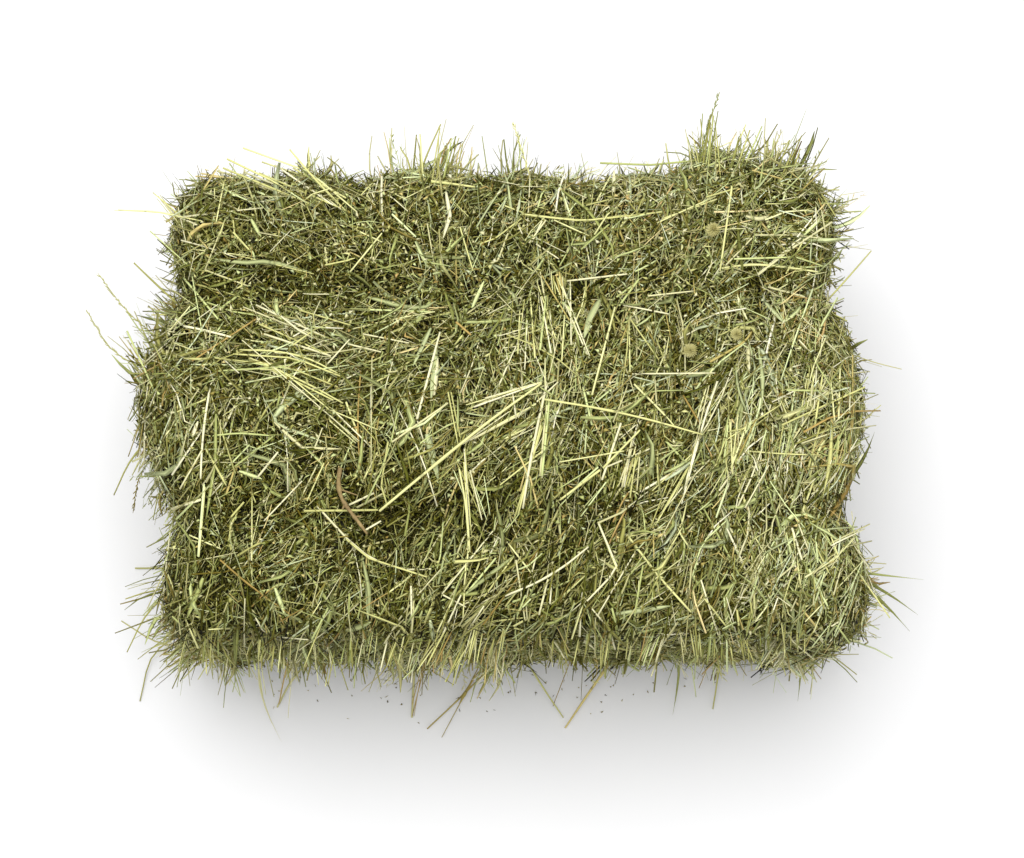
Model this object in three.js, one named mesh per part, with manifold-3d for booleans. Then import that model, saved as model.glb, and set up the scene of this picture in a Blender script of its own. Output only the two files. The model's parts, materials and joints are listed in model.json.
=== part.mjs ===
// A small square hay bale lying on its broad side: pressed flakes side by side, drawn in along
// two lines where the baler's ties ran, with loose stalks, leaves and clover heads in its skin.
// Millimetres, +Z up. X runs along the bale, Y across it. The origin is the middle of its base.
import * as THREE from "three";
import { mergeVertices } from "three/addons/utils/BufferGeometryUtils.js";
import Module from "manifold-3d";

const wasm = await Module();
wasm.setup();

const { lerp, smoothstep } = THREE.MathUtils;
const point3 = (x, y, z) => new THREE.Vector3(x, y, z);

// Driving dimensions of the bale
const LENGTH = 700;
const WIDTH = 492;
const HEIGHT = 360;
const CORNER_RADIUS = 45;

// Where one flake ends and the next begins, and how far that parting leans at each side of the bale
const PARTINGS = [
  { x: -LENGTH / 2, lean: 0 },
  { x: -262, lean: 5 },
  { x: -154, lean: -6 },
  { x: -42, lean: 4 },
  { x: 73, lean: 7 },
  { x: 181, lean: -5 },
  { x: 272, lean: -3 },
  { x: LENGTH / 2, lean: 0 },
];
const PARTING_GAP = 0.8;
const LAST_PARTING = 272;

// What pressing and tying do to the skin
const TIE_Y = 119;
const TIE_DEPTH = 12;
const TIE_SPREAD = 26;
const END_PULL = 16;
const BAND_SPREAD = 78;
const TOP_CROWN = 9;
const PARTING_DIP = 8;
const PARTING_SPREAD = 17;
const LUMP_HEIGHT = 6.5;
const SETTLING = 9;

// How far each end stands out behind the ties, between them and in front of them
const END_REACH = {
  left: { back: 4, middle: 33, front: 2 },
  right: { back: 0, middle: 24, front: 18 },
};

// Where the hay has sprung out of the bale, by places in the skin of the plain block
const TUFTS = [
  { at: [245, WIDTH / 2, 160], height: 26, spread: 62 },
  { at: [-70, WIDTH / 2, 160], height: 12, spread: 45 },
  { at: [LENGTH / 2, -200, 60], height: 14, spread: 60 },
];

// Where the skin is measured across the bale and up it, closest where it bends most
const ACROSS = [0, 34, 68, 97, TIE_Y, 142, 178, 214, WIDTH / 2];
const UPWARD = [0, 52, 104, 146, HEIGHT / 2];
const STEPS_PER_FLAKE = 3;

// Locks of hay that stand a little proud of each flake
const LOCK_FACES = ["top", "front", "top", "back", "front", "top"];
const LOCK_LENGTH = 84;
const LOCK_WIDTH = 12;
const LOCK_THICKNESS = 7;
const LOCK_LIFTS = [-4, 2.5, 0, -5];

// Fits and small sizes
const FIT_GAP = 0.35;
const SINK_SHARE = 0.35;
const LEAF_THICKNESS = 1.1;
const FLORET_SHARE = 0.16;
const SMALLEST_DETAIL = 0.05;

const COLOURS = {
  hay: 0x6b6b34,
  stem: 0xc9c878,
  pale: 0xddd9a0,
  leaf: 0x8f9c5c,
  rust: 0xa8743a,
  twig: 0x7a5a38,
  clover: 0xb5aa68,
};

// How each kind of loose piece is made: its section, its bends and the size of its two ends
const KINDS = {
  stem: { sides: 4, steps: 3, ends: [0.95, 0.7] },
  pale: { sides: 4, steps: 3, ends: [1, 0.8] },
  rust: { sides: 4, steps: 3, ends: [1, 0.6] },
  twig: { sides: 6, steps: 5, ends: [1.15, 0.7] },
  leaf: { sides: 4, steps: 4, ends: [0.7, 0.15], thick: LEAF_THICKNESS },
};

// Stalks and leaves that lie in the skin of the top, by points along and across the bale
const LYING = [
  { name: "stalk_thick_yellow", at: [[-127, -122], [-25, -38], [37, 7]], wide: 4.6, kind: "stem" },
  { name: "stalk_across_middle", at: [[40, -9], [120, -24], [200, -45]], wide: 3.6, kind: "stem" },
  { name: "stalk_pale_upright", at: [[42, 6], [27, -64], [18, -118]], wide: 4.2, kind: "pale" },
  { name: "stalk_parting_upright", at: [[-47, -76], [-37, -142], [-41, -196]], wide: 3.2, kind: "stem" },
  { name: "stalk_red", at: [[-148, 20], [-150, -32], [-147, -76]], wide: 2.6, kind: "rust" },
  { name: "stalk_low_slant", at: [[0, -208], [45, -188], [84, -158]], wide: 3.4, kind: "pale" },
  { name: "stalk_sheaf_upper", at: [[-272, 44], [-215, 38], [-169, 18]], wide: 3.2, kind: "stem" },
  { name: "stalk_sheaf_lower", at: [[-262, 34], [-215, 14], [-165, -12]], wide: 3.4, kind: "stem" },
  { name: "stalk_left_upright", at: [[-301, -2], [-306, -46], [-308, -90]], wide: 3.6, kind: "pale" },
  { name: "stalk_orange", at: [[-286, -172], [-256, -197], [-214, -227]], wide: 3, kind: "rust" },
  { name: "stalk_left_short", at: [[-330, 70], [-304, 64], [-279, 57]], wide: 3.8, kind: "pale" },
  { name: "stalk_back_right", at: [[225, 135], [263, 140], [326, 133]], wide: 4, kind: "stem" },
  { name: "stalk_right_slant", at: [[216, 10], [197, -46], [181, -100]], wide: 3.4, kind: "pale" },
  { name: "stalk_right_thin", at: [[224, -58], [270, -62], [320, -65]], wide: 2.4, kind: "stem" },
  { name: "leaf_right_middle", at: [[260, 46], [263, 14], [261, -20]], wide: 7.5, kind: "leaf" },
  { name: "leaf_right_end", at: [[332, -26], [330, -68], [322, -110]], wide: 7, kind: "leaf" },
  { name: "leaf_folded", at: [[-181, 18], [-236, -26], [-166, -58]], wide: 6, kind: "leaf" },
  { name: "leaf_low_middle", at: [[-143, -172], [-136, -206], [-137, -234]], wide: 7, kind: "leaf" },
  { name: "twig_bent", at: [[-167, -78], [-168, -102], [-139, -145]], wide: 6, kind: "twig" },
];

// Stalks and leaves that stand out of the bale or lie on the floor before it. Each starts in the hay.
const STANDING_OUT = [
  { name: "seed_stalk_left_upper", at: [[-324, 39, 292], [-407, 108, 306], [-432, 141, 318]], wide: 2.2, kind: "stem" },
  { name: "seed_stalk_left_lower", at: [[-323, 24, 262], [-423, 69, 270], [-450, 110, 284]], wide: 2.4, kind: "stem" },
  { name: "stalk_left_back", at: [[-314, 77, 322], [-363, 121, 330], [-390, 146, 338]], wide: 3.4, kind: "stem" },
  { name: "stalk_left_top_edge", at: [[-299, 188, 334], [-370, 199, 350], [-410, 199, 352]], wide: 2.4, kind: "pale" },
  { name: "stalk_left_hanging", at: [[-332, 16, 252], [-393, -28, 238], [-429, -77, 200]], wide: 3.2, kind: "stem" },
  { name: "seed_stalk_left_hanging", at: [[-337, -4, 230], [-392, -42, 214], [-412, -93, 176]], wide: 2.4, kind: "rust" },
  { name: "stalk_left_on_floor", at: [[-313, -170, 16], [-375, -135, 5], [-441, -130, 2]], wide: 3.6, kind: "stem" },
  { name: "stalk_left_front_slant", at: [[-316, -141, 150], [-389, -179, 118], [-433, -236, 70]], wide: 3, kind: "stem" },
  { name: "stalk_left_front_lower", at: [[-300, -208, 64], [-377, -230, 52], [-447, -197, 40]], wide: 3, kind: "pale" },
  { name: "stalk_left_front_floor", at: [[-318, -178, 30], [-414, -234, 10], [-429, -287, 2]], wide: 2.8, kind: "stem" },
  { name: "leaf_front_left_curl", at: [[-284, -210, 70], [-284, -282, 22], [-262, -334, 2]], wide: 6, kind: "leaf" },
  { name: "stalk_front_left", at: [[-205, -216, 26], [-248, -260, 12], [-268, -294, 2]], wide: 4, kind: "pale" },
  { name: "stalk_front_thick_1", at: [[5, -220, 24], [-32, -262, 9], [-92, -319, 3]], wide: 5.2, kind: "pale" },
  { name: "stalk_front_thick_2", at: [[-16, -216, 18], [-44, -271, 9], [-75, -329, 3]], wide: 4, kind: "rust" },
  { name: "stalk_front_stub", at: [[-105, -216, 20], [-108, -262, 9], [-110, -306, 2]], wide: 4.4, kind: "pale" },
  { name: "stalk_front_cross_1", at: [[7, -217, 46], [45, -275, 18], [67, -306, 2]], wide: 3, kind: "stem" },
  { name: "stalk_front_cross_2", at: [[140, -217, 32], [105, -266, 14], [69, -318, 3]], wide: 4.6, kind: "rust" },
  { name: "stalk_front_right_drop", at: [[200, -217, 60], [200, -265, 26], [195, -303, 2]], wide: 4, kind: "leaf" },
  { name: "stalk_front_right_thin", at: [[250, -217, 44], [247, -259, 20], [242, -296, 2]], wide: 3, kind: "stem" },
  { name: "leaf_front_right", at: [[320, -202, 90], [339, -243, 52], [340, -288, 14]], wide: 5, kind: "leaf" },
  { name: "leaf_right_front_1", at: [[316, -156, 250], [388, -188, 238], [433, -228, 216]], wide: 7.5, kind: "leaf" },
  { name: "leaf_right_front_2", at: [[314, -167, 282], [382, -174, 276], [438, -180, 274]], wide: 4.6, kind: "leaf" },
  { name: "leaf_right_front_3", at: [[322, -150, 206], [397, -175, 200], [449, -207, 186]], wide: 6, kind: "leaf" },
  { name: "stalk_right_wisp", at: [[330, 77, 300], [370, 53, 306], [417, 38, 310]], wide: 1.8, kind: "pale" },
  { name: "leaf_right_middle_out", at: [[330, -100, 300], [366, -69, 318], [382, -34, 332]], wide: 6.5, kind: "leaf" },
  { name: "stalk_right_back", at: [[310, 79, 316], [347, 117, 330], [384, 158, 342]], wide: 2.8, kind: "stem" },
  { name: "stalk_back_tall", at: [[189, 182, 330], [210, 277, 352], [226, 325, 366]], wide: 3.4, kind: "rust" },
  { name: "seed_stalk_back", at: [[42, 181, 335], [23, 245, 354], [8, 291, 370]], wide: 2, kind: "stem" },
  { name: "stalk_back_left", at: [[-107, 178, 330], [-85, 255, 350], [-68, 291, 362]], wide: 3, kind: "stem" },
  { name: "stalk_back_corner", at: [[-153, 186, 340], [-194, 223, 364], [-225, 258, 372]], wide: 3.4, kind: "stem" },
];

// Round clover heads in the skin of the top
const CLOVER_HEADS = [
  { name: "clover_head_back", at: [216, 172], size: 17 },
  { name: "clover_head_middle", at: [190, 44], size: 16 },
  { name: "clover_head_right", at: [237, 60], size: 15 },
];

const FACING = {
  top: point3(0, 0, 1),
  front: point3(0, -1, 0),
  back: point3(0, 1, 0),
  left: point3(-1, 0, 0),
  right: point3(1, 0, 0),
};

// How strongly the ties draw in the skin at this place across the bale, 0 to 1
function tieAt(y) {
  return Math.exp(-(((Math.abs(y) - TIE_Y) / TIE_SPREAD) ** 2));
}

// 1 on a parting between two flakes, falling to 0 inside a flake
function partingAt(x) {
  const nearest = Math.min(...PARTINGS.slice(1, -1).map((parting) => Math.abs(x - parting.x)));
  return Math.exp(-((nearest / PARTING_SPREAD) ** 2));
}

// Soft lumps of unevenly pressed hay, about -1 to 1
function lumps(x, y, z) {
  const broad = Math.sin(x / 41 + 1.1) * Math.sin(y / 33 + 0.4) + Math.sin(z / 35 + x / 57);
  const fine = Math.sin(x / 13 + y / 19) * Math.sin(y / 12 - z / 15 + 2);
  return 0.35 * broad + 0.3 * fine;
}

// How far an end of the bale stands out here, passing smoothly from band to band at the ties
function endReach(x, y) {
  const end = x < 0 ? END_REACH.left : END_REACH.right;
  const back = smoothstep(y, TIE_Y - TIE_SPREAD, TIE_Y + TIE_SPREAD);
  const front = smoothstep(-y, TIE_Y - TIE_SPREAD, TIE_Y + TIE_SPREAD);
  const middle = Math.exp(-((y / BAND_SPREAD) ** 2));
  return back * end.back + front * end.front + middle * end.middle - END_PULL * tieAt(y);
}

// How far the hay has sprung out at a place of the plain block's skin
function tuftAt(skin) {
  return TUFTS.reduce((sum, { at, height, spread }) => {
    return sum + height * Math.exp(-((skin.distanceTo(point3(...at)) / spread) ** 2));
  }, 0);
}

// Takes a point of the plain block, measured from its middle, to its place in the pressed bale.
// Points inside move with the skin outside them, and every parting stays plane.
function pressed(x, y, z) {
  const half = point3(LENGTH, WIDTH, HEIGHT).multiplyScalar(0.5);
  const depth = Math.max(Math.abs(x) / half.x, Math.abs(y) / half.y, Math.abs(z) / half.z);
  const skin = point3(x, y, z).divideScalar(Math.max(depth, 1e-6));
  const inner = half.clone().subScalar(CORNER_RADIUS);
  const core = skin.clone().clamp(inner.clone().negate(), inner);
  const out = skin.clone().sub(core).normalize();
  const band = Math.exp(-((skin.y / BAND_SPREAD) ** 2));
  const grow =
    LUMP_HEIGHT * lumps(skin.x, skin.y, skin.z) +
    Math.abs(out.z) * (TOP_CROWN * band - TIE_DEPTH * tieAt(skin.y)) +
    Math.abs(out.x) * endReach(skin.x, skin.y) +
    tuftAt(skin) -
    PARTING_DIP * partingAt(skin.x) * (1 - Math.abs(out.x));
  const place = core.addScaledVector(out, CORNER_RADIUS + grow).multiplyScalar(depth);
  place.x = lerp(x, place.x, smoothstep(Math.abs(x), LAST_PARTING, half.x - CORNER_RADIUS / 2));
  place.z = Math.max(0, place.z + half.z - SETTLING * Math.max(0, -z / half.z));
  return place;
}

// A place in the skin of one face: along it, and across the top or up a side
function skinAt(face, along, other) {
  if (face === "top") return pressed(along, other, HEIGHT / 2);
  const z = other - HEIGHT / 2;
  if (face === "front" || face === "back") return pressed(along, (FACING[face].y * WIDTH) / 2, z);
  return pressed((FACING[face].x * LENGTH) / 2, along, z);
}

// A steady stand-in for chance, 0 to 1, from two whole numbers
function chance(i, k) {
  const value = Math.sin(i * 127.1 + k * 311.7) * 43758.5453;
  return value - Math.floor(value);
}

// One closed body from a geometry, for joining and cutting
function solidOf(geometry) {
  const bare = geometry.clone();
  bare.deleteAttribute("normal");
  bare.deleteAttribute("uv");
  const merged = mergeVertices(bare, 1e-4);
  const vertProperties = merged.attributes.position.array;
  const triVerts = new Uint32Array(merged.index.array);
  return new wasm.Manifold(new wasm.Mesh({ numProp: 3, vertProperties, triVerts }));
}

function geometryOf(solid) {
  const mesh = solid.getMesh();
  const geometry = new THREE.BufferGeometry();
  geometry.setAttribute("position", new THREE.BufferAttribute(mesh.vertProperties, 3));
  geometry.setIndex(new THREE.BufferAttribute(mesh.triVerts, 1));
  return geometry.toNonIndexed();
}

// The largest body of a solid, without the crumbs that a cut may leave
function largestBody(solid) {
  return solid.decompose().sort((a, b) => b.volume() - a.volume())[0];
}

// Keeps what lies on one side of a parting, half the parting gap away from it
function keepBeside(solid, parting, side) {
  const normal = point3(side, (-2 * side * parting.lean) / WIDTH, 0);
  const offset = (side * parting.x + PARTING_GAP / 2) / normal.length();
  return solid.trimByPlane(normal.toArray(), offset);
}

// Both halves of a list of distances from the middle, as one list from the far side to the near one
function mirrored(distances) {
  return [...distances.slice(1).reverse().map((distance) => -distance), ...distances];
}

// One pressed flake from one parting to the next
function flakeBody(left, right) {
  const across = mirrored(ACROSS);
  const upward = mirrored(UPWARD);
  const block = new THREE.BoxGeometry(1, 1, 1, STEPS_PER_FLAKE, across.length - 1, upward.length - 1);
  const points = block.attributes.position;
  const from = left.x + (left.x > -LENGTH / 2 ? PARTING_GAP / 2 : 0);
  const to = right.x - (right.x < LENGTH / 2 ? PARTING_GAP / 2 : 0);
  for (let i = 0; i < points.count; i++) {
    const share = points.getX(i) + 0.5;
    const y = across[Math.round((points.getY(i) + 0.5) * (across.length - 1))];
    const z = upward[Math.round((points.getZ(i) + 0.5) * (upward.length - 1))];
    const place = pressed(lerp(from, to, share), y, z);
    place.x += (lerp(left.lean, right.lean, share) * 2 * place.y) / WIDTH;
    points.setXYZ(i, place.x, place.y, place.z);
  }
  return solidOf(block);
}

// A stem, leaf or lock along a smooth path. Its width lies level with the skin that faces `facing`,
// its ends are shares of its middle size, and `grow` makes the larger bed that it lies in.
function strand({ path, wide, thick = wide, facing = FACING.top, sides, steps, ends }, grow = 0) {
  const curve = new THREE.CatmullRomCurve3(path.map((place) => point3(...place)));
  const rod = new THREE.CylinderGeometry(1, 1, 1, sides, steps);
  const points = rod.attributes.position;
  for (let i = 0; i < points.count; i++) {
    const share = 0.5 - points.getY(i);
    const along = curve.getTangentAt(share);
    const across = point3(0, 0, 0).crossVectors(facing, along).normalize();
    const lift = point3(0, 0, 0).crossVectors(along, across);
    const size = lerp(lerp(...ends, share), 1, Math.sin(Math.PI * share));
    const beyond = share === 0 ? -grow : share === 1 ? grow : 0;
    const place = curve
      .getPointAt(share)
      .addScaledVector(along, beyond)
      .addScaledVector(across, points.getX(i) * ((wide / 2) * size + grow))
      .addScaledVector(lift, points.getZ(i) * ((thick / 2) * size + grow));
    points.setXYZ(i, place.x, place.y, place.z);
  }
  return solidOf(rod);
}

// One lock on a flake. The locks of the two end flakes are shared with the bale's ends.
function lockBody(flake, number) {
  const seed = flake * LOCK_FACES.length + number;
  const ends = { 0: "left", [PARTINGS.length - 2]: "right" };
  const atEnd = flake in ends && number % 2 === 0;
  const face = atEnd ? ends[flake] : LOCK_FACES[number];
  const middle = (PARTINGS[flake].x + PARTINGS[flake + 1].x) / 2;
  const along = atEnd ? WIDTH * 0.75 * (chance(seed, 2) - 0.5) : middle + 16 * (chance(seed, 2) - 0.5);
  const other = face === "top" ? WIDTH * 0.8 * (chance(seed, 1) - 0.5) : 60 + 240 * chance(seed, 1);
  const turn = Math.PI / 2 + 0.7 * (chance(seed, 3) - 0.5);
  const long = LOCK_LENGTH * (0.7 + 0.6 * chance(seed, 4));
  const path = LOCK_LIFTS.map((lift, i) => {
    const step = (i / (LOCK_LIFTS.length - 1) - 0.5) * long;
    const place = skinAt(face, along + step * Math.cos(turn), other + step * Math.sin(turn));
    return place.addScaledVector(FACING[face], lift).toArray();
  });
  const section = { sides: 3, steps: 3, ends: [0.35, 0.2] };
  return strand({ path, wide: LOCK_WIDTH, thick: LOCK_THICKNESS, facing: FACING[face], ...section });
}

// A stiff stalk bridges the dips of the skin, so it keeps only part of the skin's rise and fall
function lyingPath({ at, wide, kind }) {
  const places = at.map(([x, y]) => skinAt("top", x, y));
  const level = places.reduce((sum, place) => sum + place.z, 0) / places.length;
  const lift = (KINDS[kind].thick ?? wide) * SINK_SHARE;
  return places.map((place, i) => [...at[i], lerp(level, place.z, 0.75) + lift]);
}

// A round head of short florets, half sunk in the skin
function cloverBody({ at, size }, grow = 0) {
  const ball = new THREE.IcosahedronGeometry(size / 2, 1);
  const points = ball.attributes.position;
  const place = skinAt("top", ...at);
  for (let i = 0; i < points.count; i++) {
    const bud = point3(0, 0, 0).fromBufferAttribute(points, i);
    const key = Math.round(bud.x * 3) + Math.round(bud.y * 5) + Math.round(bud.z * 7);
    bud.setLength((size / 2) * (1 + FLORET_SHARE * (chance(key, 5) - 0.5)) + grow).add(place);
    points.setXYZ(i, bud.x, bud.y, bud.z + size * 0.2);
  }
  return solidOf(ball);
}

// Each loose piece with the slightly larger bed that its neighbours leave for it
const loose = [
  ...LYING.map((piece) => ({ ...piece, path: lyingPath(piece) })),
  ...STANDING_OUT.map((piece) => ({ ...piece, path: piece.at })),
].map((piece) => {
  const shape = { ...KINDS[piece.kind], path: piece.path, wide: piece.wide };
  return { name: piece.name, colour: piece.kind, body: strand(shape), bed: strand(shape, FIT_GAP) };
});
for (const head of CLOVER_HEADS) {
  loose.push({ name: head.name, colour: "clover", body: cloverBody(head), bed: cloverBody(head, FIT_GAP) });
}

// Leaves room in a body for the loose pieces that touch it
function makeRoom(body, pieces) {
  const touching = pieces.filter((piece) => body.intersect(piece.bed).volume() > 0);
  if (touching.length === 0) return body;
  return largestBody(touching.reduce((rest, piece) => rest.subtract(piece.bed), body));
}

loose.forEach((piece, i) => {
  piece.body = makeRoom(piece.body, loose.slice(0, i));
});

const flakes = PARTINGS.slice(0, -1).map((left, i) => {
  const right = PARTINGS[i + 1];
  const locks = LOCK_FACES.map((face, number) => lockBody(i, number));
  let whole = flakeBody(left, right).simplify(SMALLEST_DETAIL);
  for (let lock of locks) {
    if (i > 0) lock = keepBeside(lock, left, 1);
    if (i < PARTINGS.length - 2) lock = keepBeside(lock, right, -1);
    whole = whole.add(lock);
  }
  return { name: `flake_${i + 1}`, colour: "hay", body: makeRoom(whole, loose).simplify(SMALLEST_DETAIL) };
});

const bale = new THREE.Group();
bale.name = "hay_bale";
for (const { name, colour, body } of [...flakes, ...loose]) {
  const material = new THREE.MeshStandardMaterial({
    name: colour,
    color: COLOURS[colour],
    roughness: 0.8,
    metalness: 0,
  });
  const mesh = new THREE.Mesh(geometryOf(body), material);
  mesh.name = name;
  bale.add(mesh);
}

export default bale;
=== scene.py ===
# %% [markdown]
# A small square hay bale, dressed in real straws.
# The frame gives the pressed flakes and the clearest loose stalks as plain solids. Everything finer
# is made here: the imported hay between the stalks, the coat of stems, blades and chaff that covers
# each flake, the long straws that the eye picks out, and the seed heads.

# %% Load the frame and its box
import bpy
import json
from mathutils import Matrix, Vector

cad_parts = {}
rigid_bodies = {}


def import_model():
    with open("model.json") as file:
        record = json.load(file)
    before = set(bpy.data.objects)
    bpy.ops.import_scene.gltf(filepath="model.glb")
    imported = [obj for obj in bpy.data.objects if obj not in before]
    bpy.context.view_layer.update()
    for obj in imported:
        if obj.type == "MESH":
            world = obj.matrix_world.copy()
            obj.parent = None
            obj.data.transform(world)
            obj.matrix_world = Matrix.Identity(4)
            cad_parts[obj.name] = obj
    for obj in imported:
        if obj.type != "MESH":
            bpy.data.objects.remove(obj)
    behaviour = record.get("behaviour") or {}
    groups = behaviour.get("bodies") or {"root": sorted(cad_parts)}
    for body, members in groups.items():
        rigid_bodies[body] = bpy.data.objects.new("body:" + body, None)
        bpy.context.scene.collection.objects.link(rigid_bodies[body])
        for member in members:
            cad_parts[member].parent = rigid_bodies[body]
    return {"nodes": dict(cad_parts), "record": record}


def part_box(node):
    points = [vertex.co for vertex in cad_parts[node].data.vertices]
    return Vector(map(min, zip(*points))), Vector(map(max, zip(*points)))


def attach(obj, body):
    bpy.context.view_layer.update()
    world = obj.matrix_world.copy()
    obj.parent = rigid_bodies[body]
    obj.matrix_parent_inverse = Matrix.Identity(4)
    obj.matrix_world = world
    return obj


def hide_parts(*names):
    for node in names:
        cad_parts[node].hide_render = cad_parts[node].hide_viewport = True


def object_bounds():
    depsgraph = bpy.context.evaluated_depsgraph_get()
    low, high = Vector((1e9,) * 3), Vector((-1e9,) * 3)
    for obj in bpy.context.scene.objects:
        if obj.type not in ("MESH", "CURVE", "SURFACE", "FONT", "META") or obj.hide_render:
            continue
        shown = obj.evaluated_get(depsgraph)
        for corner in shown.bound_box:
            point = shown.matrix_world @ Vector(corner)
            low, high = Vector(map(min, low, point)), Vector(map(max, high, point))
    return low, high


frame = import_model()
CAD_BOX = [[float(value) for value in corner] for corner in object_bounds()]

import json
import math
import random
import bmesh
import bpy
import numpy as np
from mathutils import Matrix, Vector
from mathutils.bvhtree import BVHTree

MM = 0.001
nodes = frame["nodes"]
FLAKES = sorted(name for name in nodes if name.startswith("flake_"))
print("flakes", len(FLAKES), "CAD box", CAD_BOX)

# %% [markdown]
# Camera. The photo looks down on the bale from 78 degrees, from the front and about two metres away.
# The same numbers turn a place in the photo into a ray, which later lays the long straws where they
# are in the photo. A camera set by eye would look alike, but could not give those rays.

# %% Camera
ELEVATION = math.radians(78)
CAMERA_DISTANCE = 2.0
LOOK_AT = Vector((0.007, -0.037, 0.360))
VIEW_WIDTH = 1.044
PHOTO_SIZE = (1024, 858)
SENSOR_MM = 36

to_camera = Vector((0, -math.cos(ELEVATION), math.sin(ELEVATION)))
camera_data = bpy.data.cameras.new("camera")
camera_data.sensor_width = SENSOR_MM
camera_data.lens = SENSOR_MM * CAMERA_DISTANCE / VIEW_WIDTH
camera = bpy.data.objects.new("camera", camera_data)
camera.location = LOOK_AT + CAMERA_DISTANCE * to_camera
camera.rotation_euler = to_camera.to_track_quat("Z", "Y").to_euler()
bpy.context.collection.objects.link(camera)
bpy.context.scene.camera = camera
print("lens in mm", round(camera_data.lens, 1))


def photo_ray(px, py):
    """The camera's place and the direction of the ray through a place of the photo."""
    right = Vector((1, 0, 0))
    up = to_camera.cross(right)
    scale = VIEW_WIDTH / (PHOTO_SIZE[0] * CAMERA_DISTANCE)
    across = (px - PHOTO_SIZE[0] / 2) * scale
    above = (PHOTO_SIZE[1] / 2 - py) * scale
    return camera.location.copy(), (right * across + up * above - to_camera).normalized()


# %% [markdown]
# Floor and light. The bale lies on a pale studio floor. One large soft lamp hangs overhead, a little
# behind the bale, so the shadow is short and falls towards the viewer, and an even pale world fills
# the shade. A sun would give hard edges, which the photo does not have.

# %% Floor and light
FLOOR_REACH = 6
WORLD_COLOUR = "#FFFFFF"
WORLD_STRENGTH = 0.95
LAMP_PLACE = (-0.15, 0.35, 2.55)
LAMP_TARGET = (0, 0, 0.3)
LAMP_SIZE = 2.0
LAMP_WATTS = 62


def link(name, data):
    obj = bpy.data.objects.new(name, data)
    bpy.context.collection.objects.link(obj)
    return obj


def linear(hex_colour):
    """An sRGB hex colour as Blender's linear RGBA."""
    values = [int(hex_colour[i : i + 2], 16) / 255 for i in (1, 3, 5)]
    values = [v / 12.92 if v <= 0.04045 else ((v + 0.055) / 1.055) ** 2.4 for v in values]
    return (*values, 1.0)


def area_light(name, location, target, size, watts):
    data = bpy.data.lights.new(name, "AREA")
    data.size = size
    data.energy = watts
    light = link(name, data)
    light.location = location
    light.rotation_euler = (Vector(location) - Vector(target)).to_track_quat("Z", "Y").to_euler()


floor_mesh = bpy.data.meshes.new("floor")
floor_corners = [(x * FLOOR_REACH, y * FLOOR_REACH, 0) for x, y in ((-1, -1), (1, -1), (1, 1), (-1, 1))]
floor_mesh.from_pydata(floor_corners, [], [(0, 1, 2, 3)])
floor = link("floor", floor_mesh)

world = bpy.data.worlds.new("studio")
world.use_nodes = True
background = world.node_tree.nodes["Background"]
background.inputs["Color"].default_value = linear(WORLD_COLOUR)
background.inputs["Strength"].default_value = WORLD_STRENGTH
bpy.context.scene.world = world
bpy.context.scene.view_settings.view_transform = "Standard"
bpy.context.scene.view_settings.look = "None"

area_light("key", LAMP_PLACE, LAMP_TARGET, LAMP_SIZE, LAMP_WATTS)
print("floor, world and one lamp of", LAMP_WATTS, "W")

# %% [markdown]
# Materials. Each is a small node tree built by one helper. Patterns run in millimetres of the object
# itself. The straws share one palette: a straw's map says which cell of the palette it takes and how
# far along the straw a point lies, so a stem is streaked along its length and dark at a joint, and no
# two neighbours look alike. A painted picture could do this too, but would blur close up.

# %% Node helpers


class Nodes:
    """Adds nodes to a tree: add(type, inputs, property=value) returns the node."""

    def __init__(self, tree):
        self.tree = tree

    def add(self, kind, inputs=None, **settings):
        node = self.tree.nodes.new(kind)
        for key, value in settings.items():
            setattr(node, key, value)
        for key, value in (inputs or {}).items():
            self.put(node.inputs[key], value)
        return node

    def put(self, socket, value):
        if isinstance(value, bpy.types.NodeSocket):
            self.tree.links.new(value, socket)
        else:
            socket.default_value = value

    def math(self, operation, a, b=0.0, c=0.0, clamp=False):
        node = self.add("ShaderNodeMath", operation=operation, use_clamp=clamp)
        for socket, value in zip(node.inputs, (a, b, c)):
            self.put(socket, value)
        return node.outputs[0]

    def vector(self, x, y, z):
        return self.add("ShaderNodeCombineXYZ", {0: x, 1: y, 2: z}).outputs[0]


class Surface(Nodes):
    """A material with its node tree."""

    def __init__(self, name):
        self.material = bpy.data.materials.new(name)
        self.material.use_nodes = True
        super().__init__(self.material.node_tree)

    def object_place(self):
        return self.add("ShaderNodeTexCoord").outputs["Object"]

    def noise(self, place, scale, detail):
        inputs = {"Vector": place, "Scale": scale, "Detail": detail}
        return self.add("ShaderNodeTexNoise", inputs).outputs["Fac"]

    def ramp(self, factor, stops, interpolation="LINEAR"):
        node = self.add("ShaderNodeValToRGB")
        node.color_ramp.interpolation = interpolation
        elements = node.color_ramp.elements
        while len(elements) > 1:
            elements.remove(elements[-1])
        elements[0].position, elements[0].color = stops[0][0], linear(stops[0][1])
        for place, colour in stops[1:]:
            elements.new(place).color = linear(colour)
        self.put(node.inputs["Fac"], factor)
        return node.outputs["Color"]

    def mix(self, factor, a, b, blend="MIX"):
        node = self.add("ShaderNodeMix", data_type="RGBA", blend_type=blend)
        self.put(node.inputs["Factor"], factor)
        self.put(node.inputs["A"], a)
        self.put(node.inputs["B"], b)
        return node.outputs["Result"]

    def bump(self, height, distance, strength):
        inputs = {"Height": height, "Distance": distance, "Strength": strength}
        return self.add("ShaderNodeBump", inputs).outputs[0]

    def finish(self, looks):
        """Puts values or links on the shader's inputs and returns the material."""
        for name, value in looks.items():
            self.put(self.tree.nodes["Principled BSDF"].inputs[name], value)
        return self.material


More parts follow.
